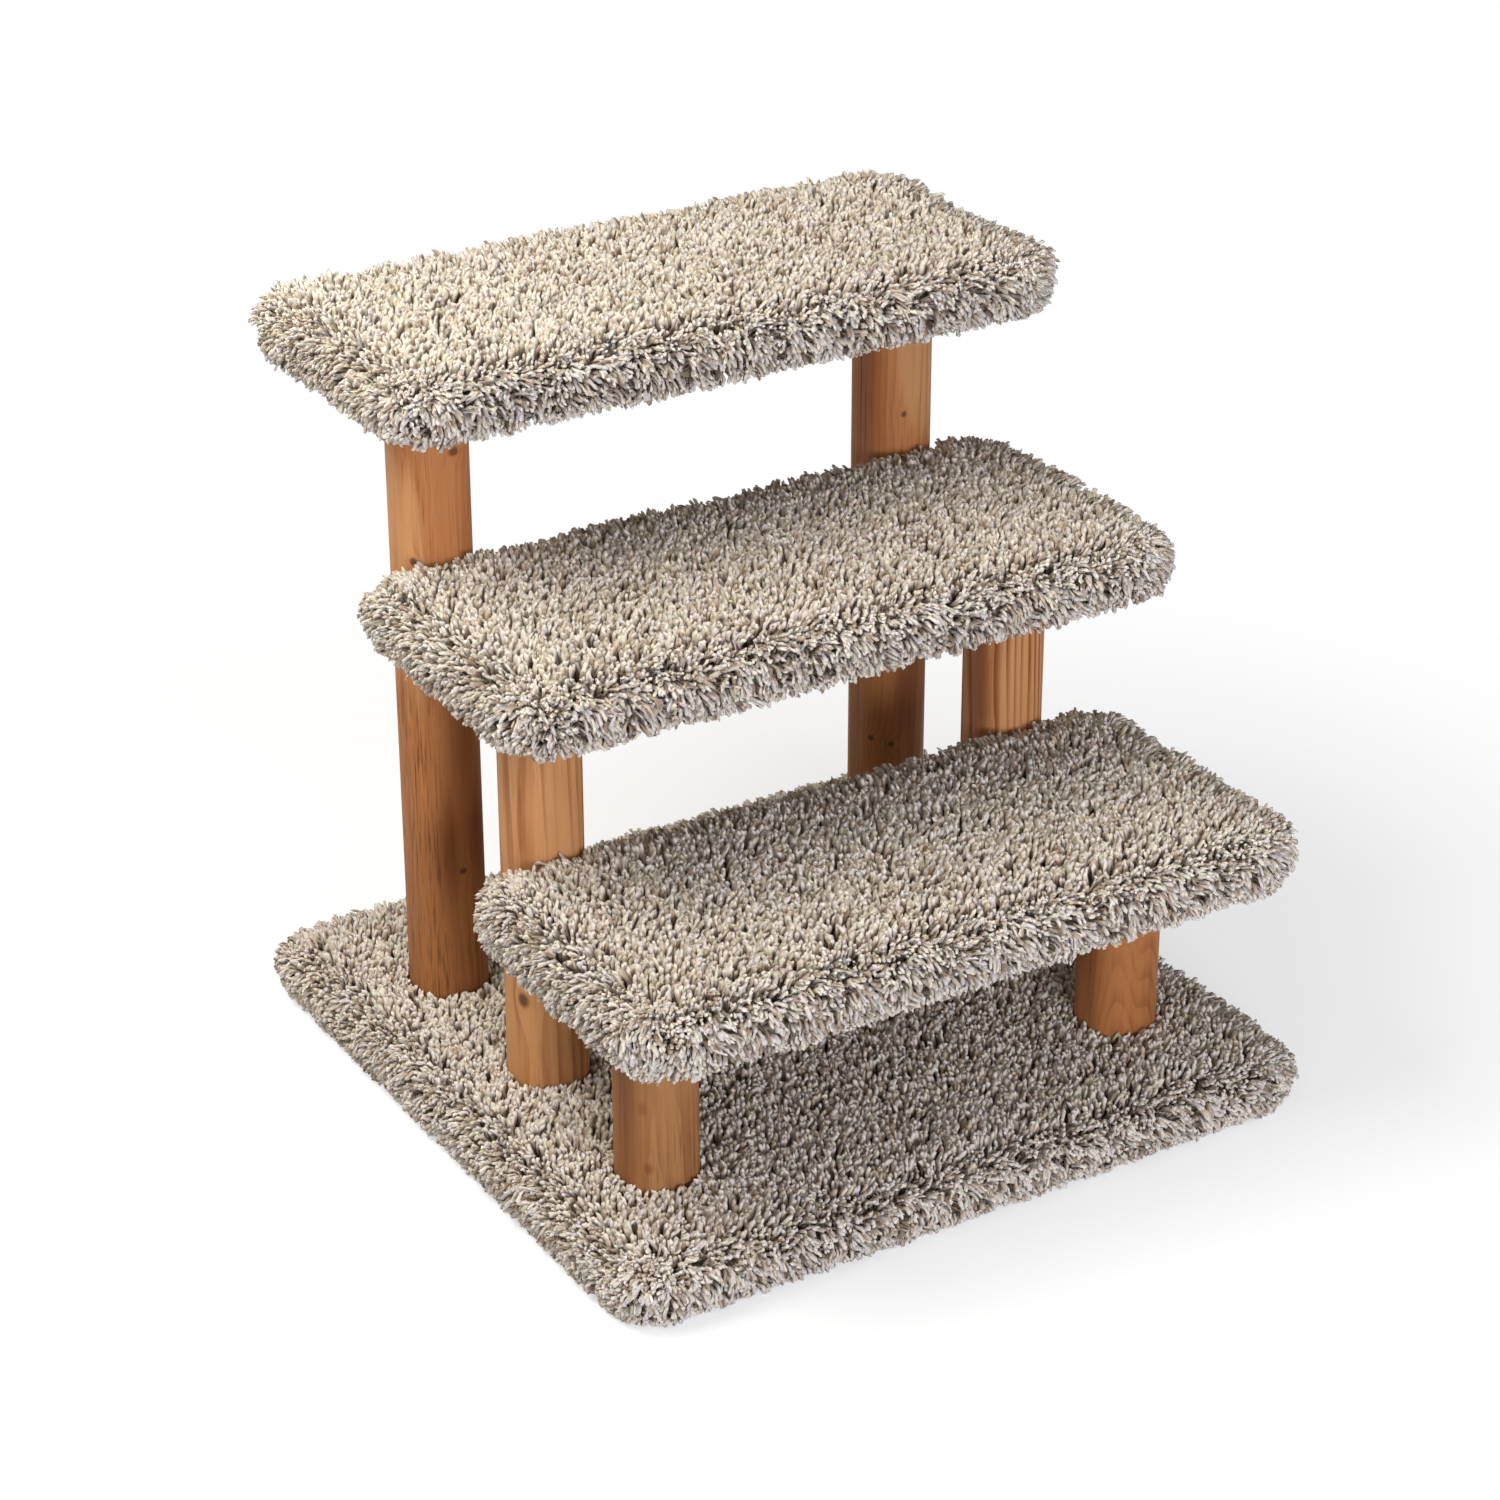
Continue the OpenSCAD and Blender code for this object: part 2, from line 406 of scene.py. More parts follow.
def tuft_pattern(rings):
    """One tuft's faces: sides between rings of four points, a pointed cap and a closed root.

    Returns the point of each face corner, each face's corner count, and the place of each corner
    in the tuft's own cell of the unrolled map, with one column to a side and one row to a ring.
    """
    corners, sizes, places = [], [], []
    rows = rings + 1
    root_height = 0.8
    for ring in range(rings - 1):
        for k in range(4):
            after = (k + 1) % 4
            low, high = 4 * ring, 4 * ring + 4
            corners += [low + k, low + after, high + after, high + k]
            places += [(k, ring + 1), (k + 1, ring + 1), (k + 1, ring + 2), (k, ring + 2)]
            sizes.append(4)
    last, tip = 4 * (rings - 1), 4 * rings
    for k in range(4):
        corners += [last + k, last + (k + 1) % 4, tip]
        places += [(k, rings), (k + 1, rings), (k + 0.5, rows)]
        sizes.append(3)
    corners += [3, 2, 1, 0]
    places += [(0, 0), (4, 0), (4, root_height), (0, root_height)]
    sizes.append(4)
    return np.array(corners), np.array(sizes), np.array(places) / (4, rows)


def tuft_mesh(name, path, width, turn, colours):
    """Many tufts as one mesh.

    Each ring is a flattened cross of four points about the tuft's path, two far ones for its two
    plies and two near ones for the waist between them, and it turns as it goes up, as twisted
    yarn does. path is tufts by rings and tip by 3, width is tufts by rings, turn is each ring's
    angle, and colours are tufts by points by 3. In the unrolled map each tuft has a square cell.
    """
    count, levels = path.shape[:2]
    rings = levels - 1
    flatness = np.array([1.0, 0.66, 1.0, 0.66])
    any_way = np.array([0.31, 0.87, 0.38])
    cell_margin = 0.02
    ahead = np.gradient(path, axis=1)[:, :rings]
    ahead /= np.linalg.norm(ahead, axis=2, keepdims=True)
    aside = np.cross(ahead, any_way)
    aside /= np.linalg.norm(aside, axis=2, keepdims=True)
    other = np.cross(ahead, aside)
    angle = turn[..., None] + np.arange(4) * math.pi / 2
    reach = width[..., None] / 2 * flatness
    ring = path[:, :rings, None] + reach[..., None] * (
        np.cos(angle)[..., None] * aside[:, :, None] + np.sin(angle)[..., None] * other[:, :, None])
    points = np.concatenate([ring.reshape(count, -1, 3), path[:, rings:]], 1)
    points[..., 2] = np.maximum(points[..., 2], FLOOR_CLEAR / 2)
    corners, sizes, places = tuft_pattern(rings)
    each = 4 * rings + 1
    loops = (np.arange(count)[:, None] * each + corners).ravel()
    thing = mesh_object(name, points.reshape(-1, 3), loops, np.tile(sizes, count))
    tints = np.ones((count, each, 4))
    tints[..., :3] = colours
    layer = thing.data.color_attributes.new(name="Yarn", type="FLOAT_COLOR", domain="POINT")
    layer.data.foreach_set("color", tints.astype(np.float32).ravel())
    across = math.ceil(math.sqrt(count))
    cell = np.stack([np.arange(count) % across, np.arange(count) // across], -1)
    unrolled = (cell[:, None] + places * (1 - 2 * cell_margin) + cell_margin) / across
    bake = thing.data.uv_layers.new(name="OFBake")
    bake.uv.foreach_set("vector", unrolled.astype(np.float32).ravel())
    return thing


def yarn_colours(rng, settings, count, rings, brownness):
    """Each tuft's colours, with painted shade down at the root and in the waist between its two plies.

    The first ply is cream, light grey or greige by its share, and the second is brown or much
    like the first. The root's painted shade eases to none at shaded_to along the tuft.
    """
    cream_share, grey_share = 0.62, 0.22
    own_tone, own_tint, second_level, second_tone = 0.045, 0.015, 0.95, 0.08
    # Painted shade: the waist stands for the shade in the crease between the plies, the root for the shade
    # deep among the tufts.
    painted_waist_shade = np.array([0.865, 0.85, 0.835])
    painted_root_shade = np.array([0.79, 0.60, 0.43])
    shaded_to, shade_curve = 0.7, 0.8
    tip_first, tip_second = 0.65, 0.35
    least, most = 0.004, 0.93
    cream, lilac = np.array(settings.cream), np.array(settings.lilac)
    greige, brown = np.array(settings.greige), np.array(settings.brown)
    draw = rng.uniform(size=(count, 1))
    paler = np.where(draw < cream_share + grey_share, lilac, greige)
    yarn = np.where(draw < cream_share, cream, paler)
    yarn = yarn * rng.normal(1, own_tone, (count, 1)) * rng.normal(1, own_tint, (count, 3))
    browned = rng.uniform(size=(count, 1)) < brownness[:, None]
    second = np.where(browned, brown, yarn * second_level)
    second = second * rng.normal(1, second_tone, (count, 1))
    waist = (yarn + second) / 2 * painted_waist_shade
    around = np.stack([yarn, waist, second, waist], 1)
    level = np.minimum(np.linspace(0, 1, rings) / shaded_to, 1)[:, None] ** shade_curve
    shade = painted_root_shade * (1 - level) + level
    sides = around[:, None] * shade[:, None]
    tip = (yarn * tip_first + second * tip_second)[:, None]
    return np.clip(np.concatenate([sides.reshape(count, -1, 3), tip], 1), least, most)


def twist(rng, count, rings, quarter_turns):
    """Each ring's angle: a random start and a steady turn up the tuft."""
    spread = 0.2
    start = rng.uniform(0, math.tau, (count, 1))
    rate = rng.normal(quarter_turns, spread, (count, 1)) * math.pi / 2
    return start + rate * np.linspace(0, 1, rings)


def widths(rng, count, mean, spread, shape):
    """Each tuft's width at its rings: a shape in the tuft's own random size."""
    return rng.normal(mean, spread, (count, 1)) * shape


def top_roots(rng, piece, spacing):
    """Roots on a board's flat top: a staggered grid, each root moved a little at random."""
    moved, apart = 0.36, 1.07
    row = spacing * math.sqrt(3) / 2 * apart
    columns, rows = (math.ceil(h / step) for h, step in zip(piece.half, (spacing, row)))
    i, j = np.meshgrid(np.arange(-columns, columns + 1), np.arange(-rows, rows + 1), indexing="ij")
    x = (i + 0.5 * (j % 2)) * spacing
    places = np.stack([x, j * row], -1).reshape(-1, 2)
    places = places + rng.uniform(-moved, moved, places.shape) * spacing + piece.middle
    inset = piece.half - TOP_BAND
    distance, _ = outside_rectangle(places, piece.middle, inset, BOARD_CORNER - TOP_BAND)
    places = places[distance < 0]
    height = np.full((len(places), 1), piece.high + BACKING)
    roots = np.concatenate([places, height], 1)
    return roots[free_of_posts(roots, ROOT_CLEAR)]


def top_tufts(name, roots, piece, settings, seed):
    """Upright cut tufts: each leans with its neighbours, gathers into loose lumps and ends blunt.

    Those near the rim also lean out, the more the nearer it they stand. A path is its root plus
    the lean, which grows with the height to the power 1.4, plus a share of the way to the middle
    of its clump, which grows with the height squared. Each noise has its own number from 3 to 8.
    """
    patch, patch_lean = 0.019, 0.28
    own_lean, rim_lean, rim_reach = 0.27, 0.20, 0.012
    tussock, tussock_height = 0.010, 0.065
    hollow, hollow_height = 0.045, 0.045
    own_height, own_width = 0.064, 0.09
    clump, clump_pull = 0.0135, 0.24
    brown_share, brown_change, brown_patch = 0.21, 0.16, 0.03
    swell = np.array([0.80, 1.16])
    rng = np.random.default_rng(seed)
    count = len(roots)
    x, y = roots[:, 0], roots[:, 1]
    lean = np.stack([soft_noise(x, y, patch, 3), soft_noise(x, y, patch, 4)], -1) * patch_lean
    within, way = outside_rectangle(
        roots[:, :2], piece.middle, piece.half - TOP_BAND, BOARD_CORNER - TOP_BAND)
    outward = way * (rim_lean * np.exp(within / rim_reach))[:, None]
    lean = lean + rng.normal(0, own_lean, (count, 2)) + outward
    lumps = soft_noise(x, y, tussock, 5) * tussock_height + soft_noise(x, y, hollow, 6) * hollow_height
    length = settings.height * (1 + lumps + rng.normal(0, own_height, count))
    gather = clump_middle(x, y, clump, 7) - roots[:, :2]
    level = np.array(TOP_RINGS + (1.0,))
    path = np.zeros((count, len(level), 3))
    sway = lean[:, None] * length[:, None, None] * (level ** 1.4)[:, None]
    pull = gather[:, None] * clump_pull * (level ** 2)[:, None]
    path[..., :2] = roots[:, None, :2] + sway + pull
    path[..., 2] = roots[:, None, 2] + length[:, None] * level
    path[:, 0, 2] -= ROOT_DEPTH
    path = clear_of_posts(path, settings.tuft_width * 0.5)
    width = settings.tuft_width * widths(rng, count, 1, own_width, swell)
    brownness = np.clip(brown_share + brown_change * soft_noise(x, y, brown_patch, 8), 0, 1)
    turn = twist(rng, count, len(TOP_RINGS), quarter_turns=1.5)
    colours = yarn_colours(rng, settings, count, len(TOP_RINGS), brownness)
    return tuft_mesh(name, path, width, turn, colours)


def edge_profile(across, piece):
    """A carpet edge in section, by the distance along it from the top band to the lip underneath.

    Gives how far out and how high the backing is, and the angle from straight up at which the
    tufts leave it. All three are eased between the profile's knots.
    """
    thick = piece.high - piece.low
    bend = BACKING * math.pi / 2
    rim = TOP_BAND * 0.45
    knots = np.cumsum([0, TOP_BAND - rim, rim, bend, thick, bend, UNDER_LIP])
    out = np.array([-TOP_BAND, -rim, 0, BACKING, BACKING, 0, -UNDER_LIP])
    top, under = piece.high + BACKING, piece.low - BACKING
    high = np.array([top, top, top, piece.high, piece.low, under, under])
    angle = np.radians([10, 16, 27, 50, 84, 112, 138])
    return (np.interp(across, knots, out), np.interp(across, knots, high),
            np.interp(across, knots, angle), knots[-1])


def edge_droop(share):
    """How far an edge tuft bends down, in radians: a half wave with its top a little below the
    middle of the profile."""
    least_degrees, more_degrees, lowered = 8, 66, 1.1
    return np.radians(least_degrees + more_degrees * np.sin(share ** lowered * math.pi))


def edge_roots(rng, piece, spacing, length):
    """Distances round a board and along its edge profile for scattered roots.

    The roots are closer where the tufts fan out, at the bends and round the corners, by a share
    of how much further apart the tips of even tufts would be there. Part of what the droop turns
    them apart counts too.
    """
    moved, straight = 0.42, 1e-6
    steps_around, steps_down = 2000, 400
    around = np.linspace(0, outline_length(piece), steps_around + 1)
    turn = np.diff(np.unwrap(np.arctan2(*outline(around, piece, 0.0)[1].T[::-1])))
    weight = np.diff(around) * (1 + FAN_CORNER * (turn > straight))
    share = np.linspace(0, 1, steps_down + 1)
    along = share * edge_profile(np.zeros(1), piece)[3]
    fan = np.diff(edge_profile(along, piece)[2] + edge_droop(share) * FAN_DROOP)
    s_sum = np.concatenate([[0], np.cumsum(weight)])
    u_sum = np.concatenate([[0], np.cumsum(np.diff(along) + FAN_SHARE * length * fan)])
    rows, columns = round(s_sum[-1] / spacing), round(u_sum[-1] / spacing)
    i, j = np.meshgrid(np.arange(rows), np.arange(columns), indexing="ij")
    s = (i + 0.5 * (j % 2) + rng.uniform(-moved, moved, i.shape)) / rows % 1.0
    u = (j + 0.5 + rng.uniform(-moved, moved, i.shape)) / columns
    around = np.interp(s * s_sum[-1], s_sum, around)
    along = np.interp(u * u_sum[-1], u_sum, along)
    return around.ravel(), along.ravel()


def bent_path(root, direction, angles, length, level):
    """Paths that start at the roots and bend from the first angle to the last as they go.

    The angle from straight up changes evenly along the path, and the path is the sum of its short
    steps. Returns the path and the sideways direction in the plane of the bend at each ring.
    """
    start, end = angles
    middle = (level[1:] + level[:-1]) / 2
    turned = start[:, None] + (end - start)[:, None] * middle
    step = length[:, None] * np.diff(level)
    outward = np.cumsum(np.sin(turned) * step, 1)
    upward = np.cumsum(np.cos(turned) * step, 1)
    path = np.repeat(root[:, None], len(level), 1)
    path[:, 1:, :2] += outward[..., None] * direction[:, None]
    path[:, 1:, 2] += upward
    final = start[:, None] + (end - start)[:, None] * level
    fall = np.stack([np.cos(final)[..., None] * direction[:, None, 0:1],
                     np.cos(final)[..., None] * direction[:, None, 1:2],
                     -np.sin(final)[..., None]], -1)[:, :, 0]
    return path, fall


def edge_growth(piece, share):
    """An edge tuft's length as a share of the full one: longest on top, shorter underneath, and
    shorter all round the base, which stands on its lowest tufts."""
    grow = 1 + 0.03 * (1 - ramp(share, 0, 0.30)) - 0.42 * ramp(share, 0.55, 1)
    if piece.low < LOW_BOARD:
        grow = grow * (0.86 - 0.20 * ramp(share, 0.45, 0.80))
    return grow


def edge_paths(rng, piece, settings, seed, s, u, share):
    """Paths of edge tufts from their places round the board and down its edge profile.

    A tuft leaves the backing at the profile's angle, bends down under its weight, leans along the
    edge and is drawn towards the middle of its clump, more the nearer its tip. Its share is its
    place down the profile, from 0 on the top to 1 underneath. The tufts of a clump have the same
    rise, sag, size and slant, and each differs a little from them. A small wave makes each curl.
    """
    clump_rise, clump_sag, clump_size, clump_slant = 0.24, 0.35, 0.15, 0.34
    own_rise, own_sag, own_size = 0.14, (0.7, 1.3), 0.085
    steepest = math.radians(176)
    held, freed = 0.3, (0.05, 0.35)
    curl, curl_change, curl_rate, clump_phase, own_phase = 0.0015, 0.0010, 5.5, 4, 1.2
    tangle, more_tangle, tangle_share, tangle_reach = 0.12, 0.14, 0.42, 0.14
    least_pull, more_pull, pulled, pull_down = 0.14, 0.20, (0.30, 0.60), 0.8
    noise_cell = 0.37
    count = len(s)
    out, high, angle, _ = edge_profile(u, piece)
    place, direction = outline(s, piece, out)
    tangent = np.stack([-direction[:, 1], direction[:, 0]], -1)
    root = np.concatenate([place, high[:, None]], 1)
    gather = clump_middle(s, u, settings.clump, seed + 1)
    cell = settings.clump * noise_cell
    rise, sag, size, slant, phase_s, phase_u = (
        soft_noise(gather[:, 0], gather[:, 1], cell, seed + k) for k in range(2, 8))
    loose = held + (1 - held) * ramp(share, *freed)
    start = angle + clump_rise * rise * loose + rng.normal(0, own_rise, count)
    droop = edge_droop(share) * (1 + clump_sag * sag * loose)
    end = np.minimum(start + droop * rng.uniform(*own_sag, count), steepest)
    level = np.array(EDGE_RINGS + (1.0,))
    length = settings.edge_length * edge_growth(piece, share)
    length = length * (1 + clump_size * size + rng.normal(0, own_size, count))
    path, fall = bent_path(root, direction, (start, end), length, level)
    phase = np.stack([phase_s, phase_u])[..., None] * clump_phase
    phase = phase + rng.uniform(0, own_phase, (2, count, 1))
    wave = np.sin(level * curl_rate + phase) - np.sin(phase)
    curls = (curl + curl_change * np.stack([slant, size])[..., None]) * wave
    tangled = tangle + more_tangle * np.exp(-((share - tangle_share) / tangle_reach) ** 2)
    lean = clump_slant * slant * loose + rng.normal(0, 1, count) * tangled
    pull = (least_pull + more_pull * ramp(share, *pulled))[:, None] * level ** 1.5
    sideways = (gather[:, 0] - s)[:, None] * pull + curls[0]
    sideways = sideways + lean[:, None] * length[:, None] * level ** 1.3
    path[..., :2] += sideways[..., None] * tangent[:, None]
    along = (gather[:, 1] - u)[:, None] * pull * pull_down + curls[1]
    path = path + along[..., None] * fall
    outward = np.concatenate([np.sin(angle)[:, None] * direction, np.cos(angle)[:, None]], 1)
    path[:, 0] -= ROOT_DEPTH * outward
    return path


def edge_tufts(name, piece, settings, seed, chosen):
    """Long tufts that fan out round the chosen part of a board's edge, droop and gather in clumps.

    On the top they are as wide as cut yarn, and down the edge they open into wisps that widen
    towards the tip.
    """
    opening = (0.05, 0.40)
    own_width, wisp_shape = 0.12, np.array([0.82, 1.0, 1.20, 1.20])
    brown_share, brown_change, brown_patch = 0.33, 0.22, 0.012
    rng = np.random.default_rng(seed)
    s, u = edge_roots(rng, piece, settings.edge_spacing, settings.edge_length)
    kept = chosen(s)
    s, u = s[kept], u[kept]
    count = len(s)
    share = u / edge_profile(u, piece)[3]
    path = edge_paths(rng, piece, settings, seed, s, u, share)
    path = clear_of_posts(path, settings.wisp_width * 0.5)
    path[..., 2] = np.maximum(path[..., 2], FLOOR_CLEAR)
    opened = ramp(share, *opening)[:, None]
    width = settings.tuft_width * (1 - opened) + settings.wisp_width * opened
    width = width * widths(rng, count, 1, own_width, wisp_shape * opened + 1 - opened)
    brown = soft_noise(s, u, brown_patch, seed + 5)
    brownness = np.clip(brown_share + brown_change * brown, 0, 1)
    turn = twist(rng, count, len(EDGE_RINGS), quarter_turns=2.6)
    colours = yarn_colours(rng, settings, count, len(EDGE_RINGS), brownness)
    return tuft_mesh(name, path, width, turn, colours)


def under_tufts(name, piece, settings, seed):
    """Short tufts on the turned-under flap: they hang under a step and lie crushed under the base.

    The roots are a scattered grid round the board and in from its lip, thinned far in, where the
    shorter outline crowds them. A hanging or crushed tuft has its angle from straight up and the
    bend it makes from there to its tip.
    """
    moved, clear, heading_out = 0.4, 0.001, 0.4
    lip_share, thin_start, thin_rate = 0.6, 1.25, 0.3
    own_start, own_bend, own_length = 0.12, 0.1, 0.08
    brownness, taper = 0.3, np.array([0.85, 1.0])
    hanging, crushed = (math.radians(152), 0.2), (math.radians(112), -0.35)
    rng = np.random.default_rng(seed)
    spacing = settings.under_spacing
    length = outline_length(piece)
    room = piece.flap - UNDER_LIP - clear
    around, along = round(length / spacing), round(room / spacing)
    i, j = np.meshgrid(np.arange(around), np.arange(along), indexing="ij")
    s = (i + 0.5 * (j % 2) + rng.uniform(-moved, moved, i.shape)) * length / around % length
    u = (j + 0.5 + rng.uniform(-moved, moved, i.shape)) * room / along
    s, out = s.ravel(), -UNDER_LIP - u.ravel()
    place, direction = outline(s, piece, out)
    spread = outside_rectangle(place, piece.middle, piece.half, BOARD_CORNER)[0]
    thinned = rng.uniform(size=len(s)) < thin_start + out / BOARD_CORNER * thin_rate
    kept = (spread < -UNDER_LIP * lip_share) & thinned
    root = np.concatenate([place, np.full((len(place), 1), piece.low - BACKING)], 1)
    kept &= free_of_posts(root, clear)
    root, direction = root[kept], direction[kept]
    count = len(root)
    way = rng.uniform(0, math.tau, count)
    heading = direction * heading_out + np.stack([np.cos(way), np.sin(way)], -1)
    heading /= np.linalg.norm(heading, axis=1, keepdims=True)
    steep, bend = crushed if piece.low < LOW_BOARD else hanging
    start = steep + rng.normal(0, own_start, count)
    end = np.minimum(start + bend + rng.normal(0, own_bend, count), math.pi)
    reach = settings.under_length * rng.normal(1, own_length, count)
    level = np.array(TOP_RINGS + (1.0,))
    path, _ = bent_path(root, heading, (start, end), reach, level)
    path[:, 0, 2] += ROOT_DEPTH
    path = clear_of_posts(path, settings.tuft_width * 0.5)
    path[..., 2] = np.maximum(path[..., 2], FLOOR_CLEAR)
    width = settings.tuft_width * widths(rng, count, 0.95, 0.1, taper)
    colours = yarn_colours(rng, settings, count, len(TOP_RINGS), np.full(count, brownness))
    turn = twist(rng, count, len(TOP_RINGS), quarter_turns=1.4)
    return tuft_mesh(name, path, width, turn, colours)


def rounded_grid(qx, qy, piece, out):
    """Points of a rounded rectangle from two grid parameters, moved out by a distance.

    A parameter is from -1 to 1 along the straight part of a side and goes on to -2 or 2 through
    the corner, where a square of parameters is eased into a quarter of a disc.
    """
    reach = np.maximum(BOARD_CORNER + out, LEAST_RADIUS)
    shrink = np.minimum(BOARD_CORNER + out - LEAST_RADIUS, 0)
    a, b = np.maximum(np.abs(qx) - 1, 0), np.maximum(np.abs(qy) - 1, 0)
    disc = np.stack([np.sign(qx) * a * np.sqrt(1 - b * b / 2),
                     np.sign(qy) * b * np.sqrt(1 - a * a / 2)], -1)
    centre = piece.half - BOARD_CORNER + shrink
    anchor = np.stack([np.clip(qx, -1, 1), np.clip(qy, -1, 1)], -1) * centre
    return piece.middle + anchor + disc * reach


def backing_mesh(piece, cell):
    """The outer face of the woven backing: a grid over the top and a skirt round the edge.

    The grid fills the rounded top and the skirt carries its border down the side and in under
    the board. Cells on a post are left out, and the rim of such a hole follows the post.
    """
    sides = piece.half - BOARD_CORNER
    least_steps, corner_steps, flap_steps = 8, 6, 5
    steps = [max(least_steps, round(2 * side / cell)) for side in sides]
    corner = np.linspace(1, 2, corner_steps + 1)[1:]
    qx, qy = (np.concatenate([-corner[::-1], np.linspace(-1, 1, n + 1), corner]) for n in steps)
    gx, gy = np.meshgrid(qx, qy, indexing="ij")
    nx, ny = gx.shape
    flat = rounded_grid(gx, gy, piece, 0.0)
    top = np.concatenate([flat, np.full((nx, ny, 1), piece.high + BACKING)], 2)
    number = np.arange(nx * ny).reshape(nx, ny)
    quads = np.stack([number[:-1, :-1], number[1:, :-1], number[1:, 1:], number[:-1, 1:]], -1)
    quads = quads.reshape(-1, 4)
    points = top.reshape(-1, 3)
    covered = ~free_of_posts(points, HOLE_GAP)
    quads = quads[~covered[quads].all(1)]
    points = clear_of_posts(points, HOLE_GAP)
    border = np.concatenate([number[:-1, 0], number[-1, :-1], number[:0:-1, -1], number[0, :0:-1]])
    bx, by = gx.ravel()[border], gy.ravel()[border]
    thick = piece.high - piece.low
    inner = np.linspace(0, -piece.flap, flap_steps + 1)[1:]
    outs = np.concatenate([[CORNER_BEND, BACKING, BACKING, BACKING, CORNER_BEND, 0], inner])
    under = piece.low - BACKING
    highs = np.concatenate([
        [piece.high + CORNER_BEND, piece.high, piece.high - thick / 2, piece.low,
         piece.low - CORNER_BEND, under], np.full(len(inner), under)])
    loop = len(border)
    skirt = np.concatenate([
        np.concatenate([rounded_grid(bx, by, piece, out), np.full((loop, 1), high)], 1)
        for out, high in zip(outs, highs)])
    rows = np.concatenate([border[None], len(points) + np.arange(len(skirt)).reshape(-1, loop)])
    after = np.roll(rows, -1, 1)
    walls = np.stack([rows[1:], after[1:], after[:-1], rows[:-1]], -1).reshape(-1, 4)
    points, quads = np.concatenate([points, skirt]), np.concatenate([quads, walls])
    used, renumbered = np.unique(quads, return_inverse=True)
    return points[used], renumbered.reshape(-1)


# Shader maths


class Wire:
    """One socket of a material, with the sums that an expression on it needs."""

    def __init__(self, shader, socket):
        self.shader = shader
        self.socket = socket

    def math(self, operation, *values):
        """A Math node on these values."""
        return self.shader.add("ShaderNodeMath", {"operation": operation}, dict(enumerate(values)))

    def __add__(self, other):
        return self.math("ADD", self, other)

    def __radd__(self, other):
        return self.math("ADD", other, self)

    def __sub__(self, other):
        return self.math("SUBTRACT", self, other)

    def __rsub__(self, other):
        return self.math("SUBTRACT", other, self)

    def __mul__(self, other):
        return self.math("MULTIPLY", self, other)

    def __rmul__(self, other):
        return self.math("MULTIPLY", other, self)

    def __truediv__(self, other):
        return self.math("DIVIDE", self, other)

    def __rtruediv__(self, other):
        return self.math("DIVIDE", other, self)

    def __pow__(self, other):
        return self.math("POWER", self, other)

    def sine(self):
        return self.math("SINE", self)

    def fraction(self):
        return self.math("FRACT", self)

    def at_least(self, other):
        return self.math("MAXIMUM", self, other)

    def at_most(self, other):
        return self.math("MINIMUM", self, other)

    def step(self, low, high):
        """0 below low and 1 above high, eased between them."""
        return self.shader.add(
            "ShaderNodeMapRange", {"interpolation_type": "SMOOTHSTEP"},
            {"Value": self, "From Min": low, "From Max": high})


class Shader:
    """A material or world's node tree, built one node at a time."""

    def __init__(self, holder):
        holder.use_nodes = True
        self.tree = holder.node_tree
        self.tree.nodes.clear()

    def add(self, kind, settings=None, values=None, output=0):
        """Adds a node: its settings first, then its sockets' values or links. Returns one output."""
        node = self.tree.nodes.new(kind)
        for key, value in (settings or {}).items():
            setattr(node, key, value)
        for key, value in (values or {}).items():
            socket = node.inputs[key]
            if isinstance(value, Wire):
                self.tree.links.new(value.socket, socket)
            else:
                socket.default_value = value
        return Wire(self, node.outputs[output]) if node.outputs else node

    def coordinates(self):
        return self.add("ShaderNodeTexCoord", output="Object")

    def stretch(self, place, scale, shift=(0, 0, 0)):
        """The place times a scale, plus a shift, axis by axis."""
        return self.add("ShaderNodeVectorMath", {"operation": "MULTIPLY_ADD"},
                        {0: place, 1: scale, 2: shift})

    def noise(self, place, scale, detail=2.0, rough=0.5):
        return self.add("ShaderNodeTexNoise", {"noise_dimensions": "3D"},
                        {"Vector": place, "Scale": scale, "Detail": detail, "Roughness": rough})

    def split(self, place):
        """The three numbers of a vector."""
        x = self.add("ShaderNodeSeparateXYZ", values={0: place})
        node = x.socket.node
        return x, Wire(self, node.outputs[1]), Wire(self, node.outputs[2])

    def blend(self, factor, first, second, how="MIX"):
        """Two colours mixed."""
        return self.add("ShaderNodeMix", {"data_type": "RGBA", "blend_type": how},
                        {0: factor, 6: first, 7: second}, output=2)

    def finish(self, values, height, depth, strength):
        """The one Principled shader, with a bump of this height, depth and strength."""
        values["Normal"] = self.add(
            "ShaderNodeBump", values={"Strength": strength, "Distance": depth, "Height": height})
        surface = self.add("ShaderNodeBsdfPrincipled", values=values)
        self.add("ShaderNodeOutputMaterial", values={"Surface": surface})


def colour4(colour, level=1.0):
    """A colour with its alpha, made lighter or darker."""
    return tuple(min(c * level, 1.0) for c in colour) + (1.0,)


def yarn_material():
    """Wool-like yarn: the tuft's colour with its painted shade, fine fibre streaks and a soft sheen."""
    material = bpy.data.materials.new("carpet_yarn")
    s = Shader(material)
    place = s.coordinates()
    tint = s.add("ShaderNodeAttribute", {"attribute_name": "Yarn"}, output="Color")
    fibres = s.noise(s.stretch(place, (1.0, 1.0, 0.45)), 1400.0, 2.0)
    patches = s.noise(place, 34.0, 2.0)
    level = 0.84 + fibres * 0.22 + patches * 0.10
    shade = s.add("ShaderNodeCombineColor", values={"Red": level, "Green": level, "Blue": level})
    s.finish({
        "Base Color": s.blend(1.0, tint, shade, "MULTIPLY"),
        "Roughness": 0.90 + fibres * 0.10,
        "Specular IOR Level": 0.08,
        "Sheen Weight": 0.32,
        "Sheen Roughness": 0.5,
    }, fibres, 0.0004, 0.35)
    return material


